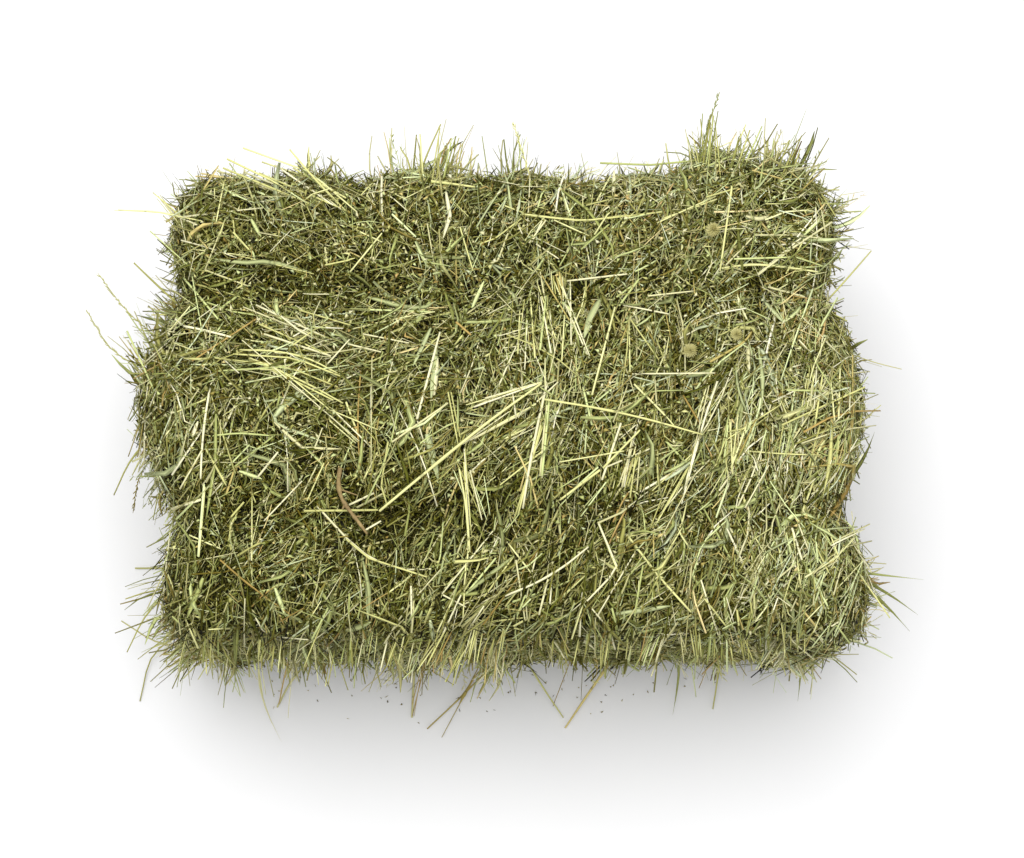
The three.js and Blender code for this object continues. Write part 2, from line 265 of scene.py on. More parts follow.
# %% Palette and materials
# The palette from the darkest chaff (0) to the palest straw (1), one column for each step
HAY_PALETTE = [
    (0.00, "#141200"),
    (0.12, "#2A2700"),
    (0.24, "#433F06"),
    (0.36, "#635F20"),
    (0.48, "#86824B"),
    (0.60, "#AAA670"),
    (0.72, "#C8C492"),
    (0.84, "#DDD9B2"),
    (0.93, "#EAE6C4"),
    (1.00, "#F4F0D4"),
]
PALETTE_COLUMNS = 96
# One row for each hue: its tint, and the share of straws in the coat that take it
HAY_HUES = {
    "plain": ("#FFFFFF", 0.41),
    "yellow": ("#FCFFE0", 0.17),
    "green": ("#F0FFE4", 0.18),
    "grey": ("#E2F0EE", 0.13),
    "ochre": ("#F8E8C4", 0.08),
    "rust": ("#DCC098", 0.025),
}
HUE_NAMES = list(HAY_HUES)
HUE_COUNT = len(HAY_HUES)

# %% The straw material
# A straw's streaks: how many cross it and lie along it, how dark the darkest is, and their range
STREAKS_ACROSS, STREAKS_ALONG = 5.0, 3.0
STREAK_DARKEST, STREAK_RANGE = 0.65, 0.7
# A straw's joint: the first place along it and the range, half its length, and how much darker it is
JOINT_FIRST, JOINT_RANGE = 0.25, 0.5
JOINT_HALF, JOINT_DARKER = 0.012, 0.35
# Rows of the palette are this many cells apart when each cell draws its own joint
CELLS_A_ROW = 37.0
STRAW_GLOSS = 0.14


def straw_material():
    """Each straw takes one cell of the palette, is streaked along itself and darker at one joint."""
    surface = Surface("dry_hay_straw")
    uv = surface.add("ShaderNodeUVMap", uv_map="OFBake")
    parts = surface.add("ShaderNodeSeparateXYZ", {0: uv.outputs["UV"]})
    scaled = surface.math("MULTIPLY", parts.outputs["X"], PALETTE_COLUMNS)
    column = surface.math("FLOOR", scaled)
    risen = surface.math("MULTIPLY", parts.outputs["Y"], HUE_COUNT)
    row = surface.math("FLOOR", risen)
    along = surface.math("SUBTRACT", risen, row)
    # The tone and the tint of the cell
    colour = surface.ramp(surface.math("DIVIDE", column, PALETTE_COLUMNS), HAY_PALETTE)
    tints = [(i / HUE_COUNT, tint) for i, (tint, _) in enumerate(HAY_HUES.values())]
    middle_of_row = surface.math("ADD", row, 0.5)
    hue = surface.ramp(surface.math("DIVIDE", middle_of_row, HUE_COUNT), tints, "CONSTANT")
    colour = surface.mix(1.0, colour, hue, "MULTIPLY")
    # Streaks along the straw and a darker ring at a joint
    across = surface.math("MULTIPLY", scaled, STREAKS_ACROSS)
    place = surface.vector(across, surface.math("MULTIPLY", along, STREAKS_ALONG), row)
    streak = surface.noise(place, 1.0, 3.0)
    shade = surface.math("MULTIPLY_ADD", streak, STREAK_RANGE, STREAK_DARKEST)
    cell = surface.math("MULTIPLY_ADD", row, CELLS_A_ROW, column)
    own = surface.add("ShaderNodeTexWhiteNoise", {"W": cell}, noise_dimensions="1D")
    joint = surface.math("MULTIPLY_ADD", own.outputs["Value"], JOINT_RANGE, JOINT_FIRST)
    ring = surface.math("COMPARE", along, joint, JOINT_HALF)
    shade = surface.math("MULTIPLY", shade, surface.math("MULTIPLY_ADD", ring, -JOINT_DARKER, 1.0))
    grey = surface.add("ShaderNodeCombineColor", {0: shade, 1: shade, 2: shade})
    colour = surface.mix(1.0, colour, grey.outputs[0], "MULTIPLY")
    roughness = surface.math("MULTIPLY_ADD", streak, 0.3, 0.38)
    return surface.finish({"Base Color": colour, "Roughness": roughness, "Specular IOR Level": STRAW_GLOSS})


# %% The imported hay, the loose nodes and the floor
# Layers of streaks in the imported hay: how each is turned, and how many a metre along x, y and z
PACKED_LAYERS = [
    (0.3, (900, 60, 120)),
    (1.3, (90, 900, 70)),
    (2.2, (140, 80, 900)),
    (0.9, (700, 90, 90)),
]
# From near black to olive: painted shade of the hay deep between the straws
PACKED_SHADE_PALETTE = [(0.0, "#0F0F04"), (0.35, "#24240D"), (0.7, "#4A4A1F"), (1.0, "#7C7B45")]


def packed_hay_material():
    """The hay seen deep between the straws: crossing streaks a few millimetres wide, dark with painted shade.
    """
    surface = Surface("packed_hay_depth")
    own_place = surface.object_place()
    layers = []
    for turn, stretch in PACKED_LAYERS:
        mapping = {"Vector": own_place, "Rotation": (turn, turn * 0.7, turn), "Scale": stretch}
        place = surface.add("ShaderNodeMapping", mapping)
        layers.append(surface.noise(place.outputs[0], 1.0, 2.0))
    light = layers[0]
    for layer in layers[1:]:
        light = surface.math("MAXIMUM", light, layer)
    fine = surface.math("MULTIPLY_ADD", light, 2.2, -0.95, clamp=True)
    colour = surface.ramp(fine, PACKED_SHADE_PALETTE)
    return surface.finish({"Base Color": colour, "Normal": surface.bump(fine, 0.003, 0.9), "Roughness": 0.85})


def stalk_material(name, pale, deep, spot, long_mm=40):
    """A dry stalk: blotches of a pale and a deep tone, a fine bump, and a few darker spots."""
    surface = Surface(name)
    place = surface.object_place()
    broad = surface.noise(place, 1000 / long_mm, 4.0)
    fine = surface.noise(place, 900.0, 3.0)
    blotches = surface.math("MULTIPLY_ADD", broad, 2.4, -0.7, clamp=True)
    spots = surface.math("MULTIPLY_ADD", fine, 5.0, -3.0, clamp=True)
    colour = surface.mix(blotches, linear(pale), linear(deep))
    looks = {
        "Base Color": surface.mix(spots, colour, linear(spot)),
        "Normal": surface.bump(fine, 0.0003, 0.6),
        "Roughness": surface.math("MULTIPLY_ADD", broad, 0.25, 0.4),
        "Specular IOR Level": STRAW_GLOSS,
    }
    return surface.finish(looks)


def floor_material():
    surface = Surface("studio_floor")
    faint = surface.noise(surface.object_place(), 3.0, 2.0)
    colour = surface.mix(faint, linear("#E0E0E1"), linear("#DDDDDE"))
    return surface.finish({"Base Color": colour, "Roughness": 0.9, "Specular IOR Level": 0.1})


STRAW = straw_material()
PACKED_HAY = packed_hay_material()
floor.data.materials.append(floor_material())
STALKS = {
    "stem": stalk_material("green_straw_stalk", "#C6C37E", "#A3A155", "#7A7536"),
    "pale": stalk_material("pale_straw_stalk", "#DAD7A2", "#BDBA76", "#8E8848"),
    "rust": stalk_material("brown_straw_stalk", "#B08A52", "#8A6232", "#583C1E"),
    "leaf": stalk_material("dry_grass_blade", "#B4BA90", "#8C9468", "#6A7148"),
    "twig": stalk_material("woody_twig_bark", "#988458", "#6E5C3C", "#35291A", 6),
    "clover": stalk_material("dry_clover_head", "#C9C48C", "#A39C60", "#77703F", 8),
    "hay": PACKED_HAY,
}
slots = {part["node"]: part["material_slot"] for part in frame["record"]["subparts"]}
for name, obj in nodes.items():
    obj.data.materials.clear()
    obj.data.materials.append(STALKS[slots[name]])
print("materials", len(bpy.data.materials), "palette cells", PALETTE_COLUMNS * HUE_COUNT)

# %% [markdown]
# Straw shapes. A hay bale's skin is stems, flat blades, hair-fine stalks and crumbs of leaf. Thousands
# of each are needed, so one shape has only 4 to 36 triangles. A handful of shapes with other bends and
# twists, stretched and turned by chance, is enough that no repeat shows.

# %% Straw shapes
SHAPES = bpy.data.collections.new("straw_shapes")
# A grass blade is this thick
BLADE_MM = 0.7


def strand(points, widths, thicknesses, sides=3, twist=0.0):
    """Corners, faces and map of a closed strand along points in metres. u runs across and v along."""
    points = [Vector(p) for p in points]
    corners, faces, uvs = [], [], []
    last = len(points) - 1
    for i, point in enumerate(points):
        along = (points[min(i + 1, last)] - points[max(i - 1, 0)]).normalized()
        side = Vector((0, 0, 1)).cross(along)
        side = side.normalized() if side.length > 0.05 else Vector((1, 0, 0))
        lift = along.cross(side)
        for k in range(sides):
            angle = 2 * math.pi * k / sides + twist * i / last
            x, y = math.cos(angle) * widths[i] / 2, math.sin(angle) * thicknesses[i] / 2
            corners.append(point + side * x + lift * y)
    for i in range(last):
        for k in range(sides):
            a, b = i * sides + k, i * sides + (k + 1) % sides
            faces.append((a, b, b + sides, a + sides))
            u0, u1, v0, v1 = k / sides, (k + 1) / sides, i / last, (i + 1) / last
            uvs += [(u0, v0), (u1, v0), (u1, v1), (u0, v1)]
    faces.append(tuple(reversed(range(sides))))
    uvs += [(0.5, 0.0)] * sides
    faces.append(tuple(last * sides + k for k in range(sides)))
    uvs += [(0.5, 1.0)] * sides
    return corners, faces, uvs


def joined(strands):
    """Several strands as one."""
    corners, faces, uvs = [], [], []
    for own_corners, own_faces, own_uvs in strands:
        faces += [tuple(len(corners) + i for i in face) for face in own_faces]
        corners += own_corners
        uvs += own_uvs
    return corners, faces, uvs


def shape(name, parts):
    """A straw shape for the scatter."""
    corners, faces, uvs = parts
    mesh = bpy.data.meshes.new(name)
    mesh.from_pydata(corners, [], faces)
    straw_map = mesh.uv_layers.new(name="straw_map")
    straw_map.data.foreach_set("uv", np.array(uvs, dtype=np.float32).ravel())
    mesh.polygons.foreach_set("use_smooth", [True] * len(mesh.polygons))
    SHAPES.objects.link(bpy.data.objects.new(name, mesh))


def bent(length, bend, sag, steps, kink=0.0):
    """Points of a strand along X, centred: bent sideways, sagging at its ends, with an optional kink."""
    points = []
    for i in range(steps + 1):
        t = i / steps * 2 - 1
        side = bend * (t * t - 0.4) + kink * max(0.0, t)
        points.append(Vector((t * length / 2, side, -sag * t * t)) * MM)
    return points


def sizes(wide, *shares):
    """A width in millimetres times each share, in metres."""
    return [wide * share * MM for share in shares]


def stem(length, bend, sag, kink, wide=2.1):
    path = bent(length, bend, sag, 3, kink)
    return strand(path, sizes(wide, 1.0, 1.05, 0.95, 0.65), sizes(wide, 0.9, 0.95, 0.85, 0.6))


def blade(length, bend, sag, kink, twist, wide=5.4):
    path = bent(length, bend, sag, 4, kink)
    return strand(path, sizes(wide, 0.5, 0.95, 1.0, 0.75, 0.15), sizes(BLADE_MM, 1, 1, 1, 1, 1), twist=twist)


def wisp(length, bend, sag, kink, wide=1.0):
    path = bent(length, bend, sag, 2, kink)
    return strand(path, sizes(wide, 1.0, 0.9, 0.35), sizes(wide, 0.9, 0.8, 0.35))


def curl(length, bend, wide):
    """A short curled bit of leaf."""
    places = [(-length / 2, 0, 0), (0, bend, bend * 0.3), (length / 2, -bend * 0.2, 0)]
    path = [Vector(place) * MM for place in places]
    return strand(path, sizes(wide, 0.6, 1.0, 0.3), sizes(1, 0.8, 0.9, 0.5))


def sprig(leaflets, long, spread, rng):
    """A hair-fine stalk with small leaf crumbs along it, as stands out at the bale's edges."""
    path = bent(long, spread, 3, 4, 4)
    bits = [strand(path, sizes(1, 1.1, 1.0, 0.8, 0.6, 0.3), sizes(1, 1.0, 0.9, 0.7, 0.5, 0.3))]
    for k in range(leaflets):
        t = 0.3 + 0.7 * k / leaflets
        foot = path[0].lerp(path[-1], t) + Vector((0, spread * ((2 * t - 1) ** 2 - 0.4) * MM, 0))
        way = Vector((0.5, rng.uniform(-1, 1), rng.uniform(-0.6, 0.9))).normalized()
        tip = foot + way * rng.uniform(5, 11) * MM
        wide = sizes(1, 0.5, rng.uniform(1.4, 3.0), 0.4)
        bits.append(strand([foot, foot.lerp(tip, 0.6), tip], wide, sizes(1, 0.4, 0.6, 0.3)))
    return joined(bits)


def crumb(corners):
    """A crumb of leaf with four corners: a thin, bent closed chip."""
    faces = [(0, 2, 1), (0, 1, 3), (1, 2, 3), (2, 0, 3)]
    own = [(0.1, 0.1), (0.9, 0.2), (0.5, 0.9), (0.5, 0.4)]
    return [Vector(p) * MM for p in corners], faces, [own[i] for face in faces for i in face]


# Lengths in mm, and for each shape its bend, sag, kink and, for a blade, its twist
STEM_LONG, BLADE_LONG, WISP_LONG = 72, 62, 58
STEM_BENDS = [(0, 2, 0), (4, 1, 0), (-6, 3, 0), (2, 3, 11), (0, 1, 0), (-3, 2, -8)]
BLADE_BENDS = [(6, 3, 0, 1.2), (-14, 6, 0, 2.2), (4, 2, 22, 0.6), (16, 8, -12, 3.0), (20, 4, 6, 0.8)]
WISP_BENDS = [(5, 2, 0), (-10, 4, 0), (14, 2, 8), (0, 1, 0), (-19, 3, -4)]
# Length and width of each needle; length, bend and width of each curl
NEEDLE_SIZES = [(15, 1.4), (10, 1.9), (21, 1.2)]
CURL_SIZES = [(14, 4, 2.2), (17, -6, 1.6), (11, 5, 2.8), (20, 7, 1.5)]
for i, bends in enumerate(STEM_BENDS):
    shape(f"stem_{i}", stem(STEM_LONG, *bends))
for i, bends in enumerate(BLADE_BENDS):
    shape(f"blade_{i}", blade(BLADE_LONG, *bends))
for i, bends in enumerate(WISP_BENDS):
    shape(f"wisp_{i}", wisp(WISP_LONG, *bends))
for i, (long, wide) in enumerate(NEEDLE_SIZES):
    path = [(-long / 2 * MM, 0, 0), (long / 2 * MM, 0, 0)]
    shape(f"needle_{i}", strand(path, sizes(wide, 1.0, 0.5), sizes(wide, 0.9, 0.5)))
for i, (long, bend, wide) in enumerate(CURL_SIZES):
    shape(f"curl_{i}", curl(long, bend, wide))
CRUMB_CORNERS = [
    [(-4, -1.2, 0), (4.5, -0.4, 0.4), (0.5, 1.9, 0.2), (0.2, 0, 1.1)],
    [(-2.6, -1.8, 0), (2.8, -1.2, 0), (0, 2.4, 0.3), (0, 0, 0.9)],
    [(-6, -0.5, 0), (5.5, -0.6, 0.3), (0, 0.9, 0), (0, 0, 0.9)],
    [(-3.2, -0.6, 0), (1.0, -2.0, 0.5), (2.4, 1.6, 0), (0.3, 0, 1.2)],
]
for i, corners in enumerate(CRUMB_CORNERS):
    shape(f"crumb_{i}", crumb(corners))

# %% [markdown]
# Where the hay lies how. The coat grows from the skin of the CAD flakes, less the partings between
# them. At each point of that skin these things are set: how thick the coat is, which way the straws
# run and how strictly, and how pale and how coarse they are. In the photo the left third is dark
# crumbled leaf, the middle is long crossing stems, the right is pale stems lying across the bale, and
# the back rim is airy and pale. One even coat would lose all of that.

# %% The skin of each flake with its grain and tone
# The tie grooves lie this far to the front and back of the middle, and reach this far, in mm
GROOVE_Y, GROOVE_REACH = 119, 20
# In a groove the coat is darker by the first, painted shade in the recess, and has fewer stems by the second
GROOVE_SHADE, GROOVE_FINER = 0.06, 0.25
# The walls and the underside carry a thinner coat than the top
WALL_DENSITY, UNDER_LESS = 0.36, 0.33
CLUMP_TONE = 0.07
# Hay on the walls hangs down, sways by this much from place to place, lies in this order and is darker by
# painted shade
WALL_SWAY, WALL_ORDER, WALL_SHADE = 0.25, 0.25, 0.03
# Where no patch reaches, the straws lean a little one way
REST_WEIGHT, REST_GRAIN = 0.1, 0.15
# Straws spring out below this height in mm, ever more over the next stretch down
SPRING_TOP, SPRING_FADE = 310, 60
# A parting is a face within this distance of the flake's end; skin edges are cut down to this length
PARTING_DEPTH = 0.012
SKIN_EDGE = 0.018


def bump_at(x, y, cx, cy, rx, ry):
    return np.exp(-(((x - cx) / rx) ** 2) - ((y - cy) / ry) ** 2)


# Patches of the top: centre and reach in mm, direction of the straws in degrees, spread, tone, stems.
# A tone holds painted light as well as the hay's own: the back rim is paler and the front rows darker
PATCHES = [
    # the left third, crumbled leaf with few stems
    (-290, 175, 95, 75, -42, 75, -0.05, -0.7),
    (-180, 160, 100, 75, -29, 45, -0.06, -0.6),
    (-290, 70, 70, 50, -3, 50, -0.06, -0.4),
    (-205, 55, 75, 38, -24, 12, 0.10, 0.5),
    (-285, -30, 60, 55, 65, 35, -0.05, -0.3),
    (-195, -50, 80, 45, -30, 60, -0.07, -0.4),
    (-285, -165, 70, 95, 80, 25, -0.10, -0.3),
    (-185, -170, 75, 90, 73, 38, -0.09, -0.3),
    # the middle, long crossing stems
    (-85, 175, 80, 70, -63, 60, -0.05, -0.6),
    (-90, 65, 60, 50, 42, 55, -0.06, -0.2),
    (-85, -45, 70, 60, 64, 15, -0.05, 0.1),
    (-80, -170, 70, 80, 64, 15, -0.17, 0.0),
    (20, 165, 80, 70, 60, 50, -0.01, -0.3),
    (15, 70, 60, 55, -87, 28, -0.05, 0.1),
    (15, -30, 70, 60, 57, 12, -0.05, 0.3),
    (20, -130, 65, 50, 72, 32, -0.11, 0.1),
    (30, -215, 80, 50, 58, 14, -0.12, 0.2),
    (110, 75, 65, 55, 77, 24, -0.04, 0.0),
    (110, -50, 60, 80, 80, 45, -0.05, 0.0),
    # the right, pale stems
    (125, 180, 90, 65, 57, 50, 0.0, -0.2),
    (210, 130, 70, 70, 65, 60, 0.0, -0.1),
    (205, -25, 70, 55, 62, 15, 0.0, 0.3),
    (205, -120, 75, 60, 61, 8, 0.02, 0.35),
    (120, -220, 80, 45, 64, 20, -0.08, 0.1),
    (210, -225, 80, 45, 80, 20, -0.04, 0.3),
    (310, 175, 70, 65, 12, 45, 0.02, 0.0),
    (310, 70, 65, 55, -62, 32, 0.03, 0.3),
    (310, -40, 60, 70, 73, 22, 0.07, 0.4),
    (310, -165, 70, 90, -88, 22, 0.03, 0.4),
    # the back rim, airy and pale, partly with painted light from behind
    (-230, 250, 130, 25, 70, 60, 0.16, -0.3),
    (0, 250, 130, 25, 80, 60, 0.14, -0.2),
    (230, 250, 130, 25, 75, 60, 0.10, 0.0),
]


# %% Values at each point of the skin


def facing(values, gain, start):
    """How much the skin faces one way, from 0 to 1."""
    return np.clip(values * gain - start, 0, 1)


def surface_values(points, normals):
    """Coat thickness, grain direction, tone and share of stems at points of the skin (metres)."""
    x, y, z = (points / MM).T
    top = facing(normals[:, 2], 1.6, 0.2)
    under = facing(-normals[:, 2], 1.6, 0.2)
    ends = facing(np.abs(normals[:, 0]), 1.5, 0.4)
    weight = np.full_like(x, REST_WEIGHT)
    c, s = np.zeros_like(x), np.ones_like(x) * REST_GRAIN
    tone, coarse = np.zeros_like(x), np.zeros_like(x)
    for cx, cy, rx, ry, angle, spread, tone_and_painted_light, stems in PATCHES:
        share = bump_at(x, y, cx, cy, rx, ry)
        weight += share
        # a line has no front or back, so its direction is averaged at twice its angle
        c += share * math.cos(2 * math.radians(angle)) * (1 - spread / 90)
        s += share * math.sin(2 * math.radians(angle)) * (1 - spread / 90)
        tone += share * tone_and_painted_light
        coarse += share * stems
    angle = np.arctan2(s, c) / 2
    order = np.hypot(c, s) / weight
    sway = [WALL_SWAY * np.sin(x / 23), WALL_SWAY * np.sin(x / 31 + y / 19)]
    hanging = np.stack([*sway, np.ones_like(x)], 1)
    # Patch tones hold on the top only; the walls are darker than the top by painted shade
    tone = tone / weight * top - WALL_SHADE * (1 - top)
    coarse = coarse / weight * top
    groove = np.exp(-(((np.abs(y) - GROOVE_Y) / GROOVE_REACH) ** 2)) * (top + ends).clip(0, 1)
    # Painted shade in the tie grooves
    tone -= GROOVE_SHADE * groove
    coarse -= GROOVE_FINER * groove
    order = order * top + WALL_ORDER * (1 - top)
    density = top + (1 - top) * WALL_DENSITY - under * UNDER_LESS
    # Clumps a few centimetres wide, some dark and some pale
    clumps = np.sin(x / 13 + 2.1 * np.sin(y / 19)) * np.sin(y / 11 + 1.7 * np.sin(x / 17 + 0.6))
    tone += CLUMP_TONE * clumps
    # Straws spring out of the sides below the rim
    low = np.clip((SPRING_TOP - z) / SPRING_FADE, 0, 1)
    edge = np.clip(1 - np.abs(normals[:, 2]) / 0.8, 0, 1) * low
    # Straws swirl a little from place to place, so that no patch looks combed
    swirl = 0.25 * np.sin(x / 31 + 1.3 * np.sin(y / 27)) + 0.2 * np.sin(y / 23 - x / 47 + 0.9)
    turned = np.stack([np.cos(angle + swirl), np.sin(angle + swirl), np.zeros_like(x)], 1)
    grain = turned * top[:, None] + hanging * (1 - top)[:, None]
    return density, grain, tone, coarse, order, edge


# %% The skin as a mesh


def skin_of(flake):
    """An open mesh of the flake's outer skin, fine enough to carry the values, as an object."""
    bm = bmesh.new()
    bm.from_mesh(nodes[flake].data)
    index = FLAKES.index(flake)
    xs = [v.co.x for v in bm.verts]
    low, high = min(xs), max(xs)
    inner = []
    for face in bm.faces:
        middle = face.calc_center_median().x
        at_left = face.normal.x < -0.99 and middle - low < PARTING_DEPTH
        at_right = face.normal.x > 0.99 and high - middle < PARTING_DEPTH
        if (at_left and index > 0) or (at_right and index < len(FLAKES) - 1):
            inner.append(face)
    bmesh.ops.delete(bm, geom=inner, context="FACES")
    for _ in range(3):
        long = [e for e in bm.edges if e.calc_length() > SKIN_EDGE]
        if long:
            bmesh.ops.subdivide_edges(bm, edges=long, cuts=1, use_grid_fill=True)
    bmesh.ops.triangulate(bm, faces=bm.faces)
    mesh = bpy.data.meshes.new(f"skin_{flake}")
    bm.to_mesh(mesh)
    bm.free()
    points = np.array([v.co[:] for v in mesh.vertices])
    normals = np.array([v.normal[:] for v in mesh.vertices])
    density, grain, tone, coarse, order, edge = surface_values(points, normals)
    named = {"density": density, "tone": tone, "coarse": coarse, "order": order, "edge": edge}
    for name, values in named.items():
        stored = mesh.attributes.new(name, "FLOAT", "POINT")
        stored.data.foreach_set("value", values.astype(np.float32))
    stored = mesh.attributes.new("grain", "FLOAT_VECTOR", "POINT")
    stored.data.foreach_set("vector", grain.astype(np.float32).ravel())
    return link(f"skin_{flake}", mesh)


# %% [markdown]
# The coat. Geometry Nodes scatter straws over the skin: points by the coat's thickness, each straw
# turned with the grain and by chance, tipped a little in or out so that straws pass over and under
# each other, and lifted to its own depth. Shapes, lengths and tones differ by layer. The straws are
# made real at the end and written into one mesh for each flake.

# %% The scatter tree


# How much darker a straw is for each millimetre that it lies below the skin: partly painted shade deep in
# the hay, partly hay down there that the sun bleached less
SINK_SHADE_AND_UNBLEACHED = 0.057
# Straws lie in bunches about this wide, each bunch a little paler or darker than the next
BUNCH_MM = 34
BUNCH_TONE = 0.07
# How far a straw rolls about itself, and how much a strong grain holds its turn back
ROLL = 0.6
GRAIN_HOLDS = 0.5
# A straw's map fills this much of its palette cell, from this margin on
CELL_WIDE, CELL_SIDE = 0.8, 0.1
CELL_HIGH, CELL_FOOT = 0.94, 0.03


def in_use(sockets, **traits):
    """The sockets that are switched on and have these traits; a node has one for each data type."""
    return [s for s in sockets if s.enabled and all(getattr(s, key) == traits[key] for key in traits)]


class Scatter(Nodes):
    """Builds one Geometry Nodes tree that lays layers of straws on a skin."""

    def __init__(self, name):
        super().__init__(bpy.data.node_groups.new(name, "GeometryNodeTree"))
        face = self.tree.interface
        face.new_socket("Geometry", in_out="INPUT", socket_type="NodeSocketGeometry")
        self.seed_socket = face.new_socket("Seed", in_out="INPUT", socket_type="NodeSocketInt")
        face.new_socket("Geometry", in_out="OUTPUT", socket_type="NodeSocketGeometry")
        self.group_in = self.add("NodeGroupInput")
        self.layers = []

    def named(self, name, kind="FLOAT"):
        node = self.add("GeometryNodeInputNamedAttribute", {"Name": name}, data_type=kind)
        return node.outputs["Attribute"]

    def store(self, geometry, name, value, kind="FLOAT", domain="POINT"):
        """The geometry with a value kept on it under a name."""
        inputs = {"Geometry": geometry, "Name": name}
        node = self.add("GeometryNodeStoreNamedAttribute", inputs, data_type=kind, domain=domain)
        self.put(in_use(node.inputs, name="Value")[0], value)
        return node.outputs[0]

    def seeded(self, number):
        return self.math("ADD", self.group_in.outputs["Seed"], float(number))

    def chance(self, low, high, seed, kind="FLOAT"):
        """A random value for each straw."""
        node = self.add("FunctionNodeRandomValue", data_type=kind)
        socket_type = "INT" if kind == "INT" else "VALUE"
        lowest, highest = in_use(node.inputs, type=socket_type)[:2]
        self.put(lowest, low)
        self.put(highest, high)
        self.put(node.inputs["Seed"], self.seeded(seed))
        return in_use(node.outputs)[0]

    def points_on_skin(self, where, per_m2, coarse_gain, seed):
        """Points for the feet of a layer's straws, each with the skin's outward direction."""
        gain = self.math("MULTIPLY_ADD", self.named("coarse"), coarse_gain, 1.0)
        count = self.math("MULTIPLY", self.math("MULTIPLY", self.named(where), gain), per_m2)
        inputs = {"Mesh": self.group_in.outputs["Geometry"], "Seed": self.seeded(seed)}
        points = self.add("GeometryNodeDistributePointsOnFaces", inputs, distribute_method="RANDOM")
        self.put(in_use(points.inputs, name="Density")[0], self.math("MAXIMUM", count, 0.0))
        return self.store(points.outputs["Points"], "out", points.outputs["Normal"], "FLOAT_VECTOR")

    def bunches(self, turn, bunched, seed):
        """The turn and the tone of each straw: those of one bunch share most of the one and a little
        of the other."""
        shift = {0: self.add("GeometryNodeInputPosition").outputs[0], 1: (seed * 0.37, seed * 0.11, 0.0)}
        spot = self.add("ShaderNodeVectorMath", shift, operation="ADD")
        cell = self.add("ShaderNodeTexVoronoi", {"Vector": spot.outputs[0], "Scale": 1000 / BUNCH_MM})
        draws = self.add("ShaderNodeSeparateXYZ", {0: cell.outputs["Color"]})
        shared = self.math("MULTIPLY_ADD", draws.outputs[0], 2 * turn * bunched, -turn * bunched)
        own = 1.0 - 0.8 * bunched
        together = self.math("ADD", shared, self.chance(-turn * own, turn * own, seed + 2))
        # Where the grain is strong, straws turn away from it less
        loose = self.math("MULTIPLY_ADD", self.named("order"), -GRAIN_HOLDS, 1.0, clamp=True)
        tone_range = BUNCH_TONE * bunched
        tone = self.math("MULTIPLY_ADD", draws.outputs[1], 2 * tone_range, -tone_range)
        return self.math("MULTIPLY", together, loose), tone

    def direction(self, tip, seed):
        """A straw's rotation: along the grain, then turned on the skin, rolled and tipped by chance."""
        along_grain = self.add("FunctionNodeAxesToRotation", primary_axis="Z", secondary_axis="X")
        self.put(along_grain.inputs[0], self.named("out", "FLOAT_VECTOR"))
        self.put(along_grain.inputs[1], self.named("grain", "FLOAT_VECTOR"))
        tipped = self.chance(*tip, seed + 3)
        rolled = self.chance(-ROLL, ROLL, seed + 4)
        rotation = along_grain.outputs[0]
        for angles in ((0.0, 0.0, self.named("turned")), (rolled, tipped, 0.0)):
            by = self.add("FunctionNodeEulerToRotation", {0: self.vector(*angles)})
            inputs = {0: rotation, 1: by.outputs[0]}
            rotation = self.add("FunctionNodeRotateRotation", inputs, rotation_space="LOCAL").outputs[0]
        return rotation

    def hue_row(self, hues, seed):
        """The hue: the chance passes one mark after another, and each mark is one row on."""
        chance = self.chance(*hues, seed + 9)
        row, mark = 0.0, 0.0
        for _, share in list(HAY_HUES.values())[:-1]:
            mark += share
            row = self.math("ADD", row, self.math("GREATER_THAN", chance, mark))
        return row

    def layer(
        self, shapes, per_m2, coarse_gain, turn, tip, depth, lengths, widths, tones, seed,
        where="density", bunched=0.0, hues=(0.0, 1.0),
    ):
        """Straws of some shapes. coarse_gain says how much the count follows the share of stems. turn
        and tip are in radians, depth is in mm above the skin, lengths and widths are shares of the
        shape's own, and tones run from 0 to 1."""
        points = self.points_on_skin(where, per_m2, coarse_gain, seed)
        turned, bunch_tone = self.bunches(turn, bunched, seed)
        level = self.chance(*depth, seed + 1)
        # A straw lying deeper is darker: partly painted shade, partly less bleached hay
        sunk = self.math("MULTIPLY", self.math("MINIMUM", level, 0.0), SINK_SHADE_AND_UNBLEACHED)
        for name, value in (("sunk", sunk), ("bunch_tone", bunch_tone), ("turned", turned)):
            points = self.store(points, name, value)
        lift = self.add("ShaderNodeVectorMath", {0: self.named("out", "FLOAT_VECTOR")}, operation="SCALE")
        self.put(lift.inputs["Scale"], self.math("MULTIPLY", level, MM))
        moved = self.add("GeometryNodeSetPosition", {"Geometry": points, "Offset": lift.outputs[0]})
        long = self.chance(*lengths, seed + 5)
        wide = self.chance(*widths, seed + 6)
        one_by_one = {"Collection": shapes, "Separate Children": True, "Reset Children": True}
        source = self.add("GeometryNodeCollectionInfo", one_by_one)
        inputs = {
            "Points": moved.outputs[0],
            "Instance": source.outputs[0],
            "Pick Instance": True,
            "Instance Index": self.chance(0, len(shapes.objects) - 1, seed + 7, "INT"),
            "Rotation": self.direction(tip, seed),
            "Scale": self.vector(long, wide, wide),
        }
        laid = self.add("GeometryNodeInstanceOnPoints", inputs).outputs[0]
        region_tone = self.math("ADD", self.named("tone"), self.named("bunch_tone"))
        toned = self.math("ADD", self.chance(*tones, seed + 8), region_tone)
        look = self.math("ADD", toned, self.named("sunk"), clamp=True)
        laid = self.store(laid, "look", look, domain="INSTANCE")
        self.layers.append(self.store(laid, "hue", self.hue_row(hues, seed), domain="INSTANCE"))

    def close(self, material):
        """Makes the straws real and maps each one into its cell of the palette."""
        join = self.add("GeometryNodeJoinGeometry")
        for layer in self.layers:
            self.tree.links.new(layer, join.inputs[0])
        real = self.add("GeometryNodeRealizeInstances", {0: join.outputs[0]})
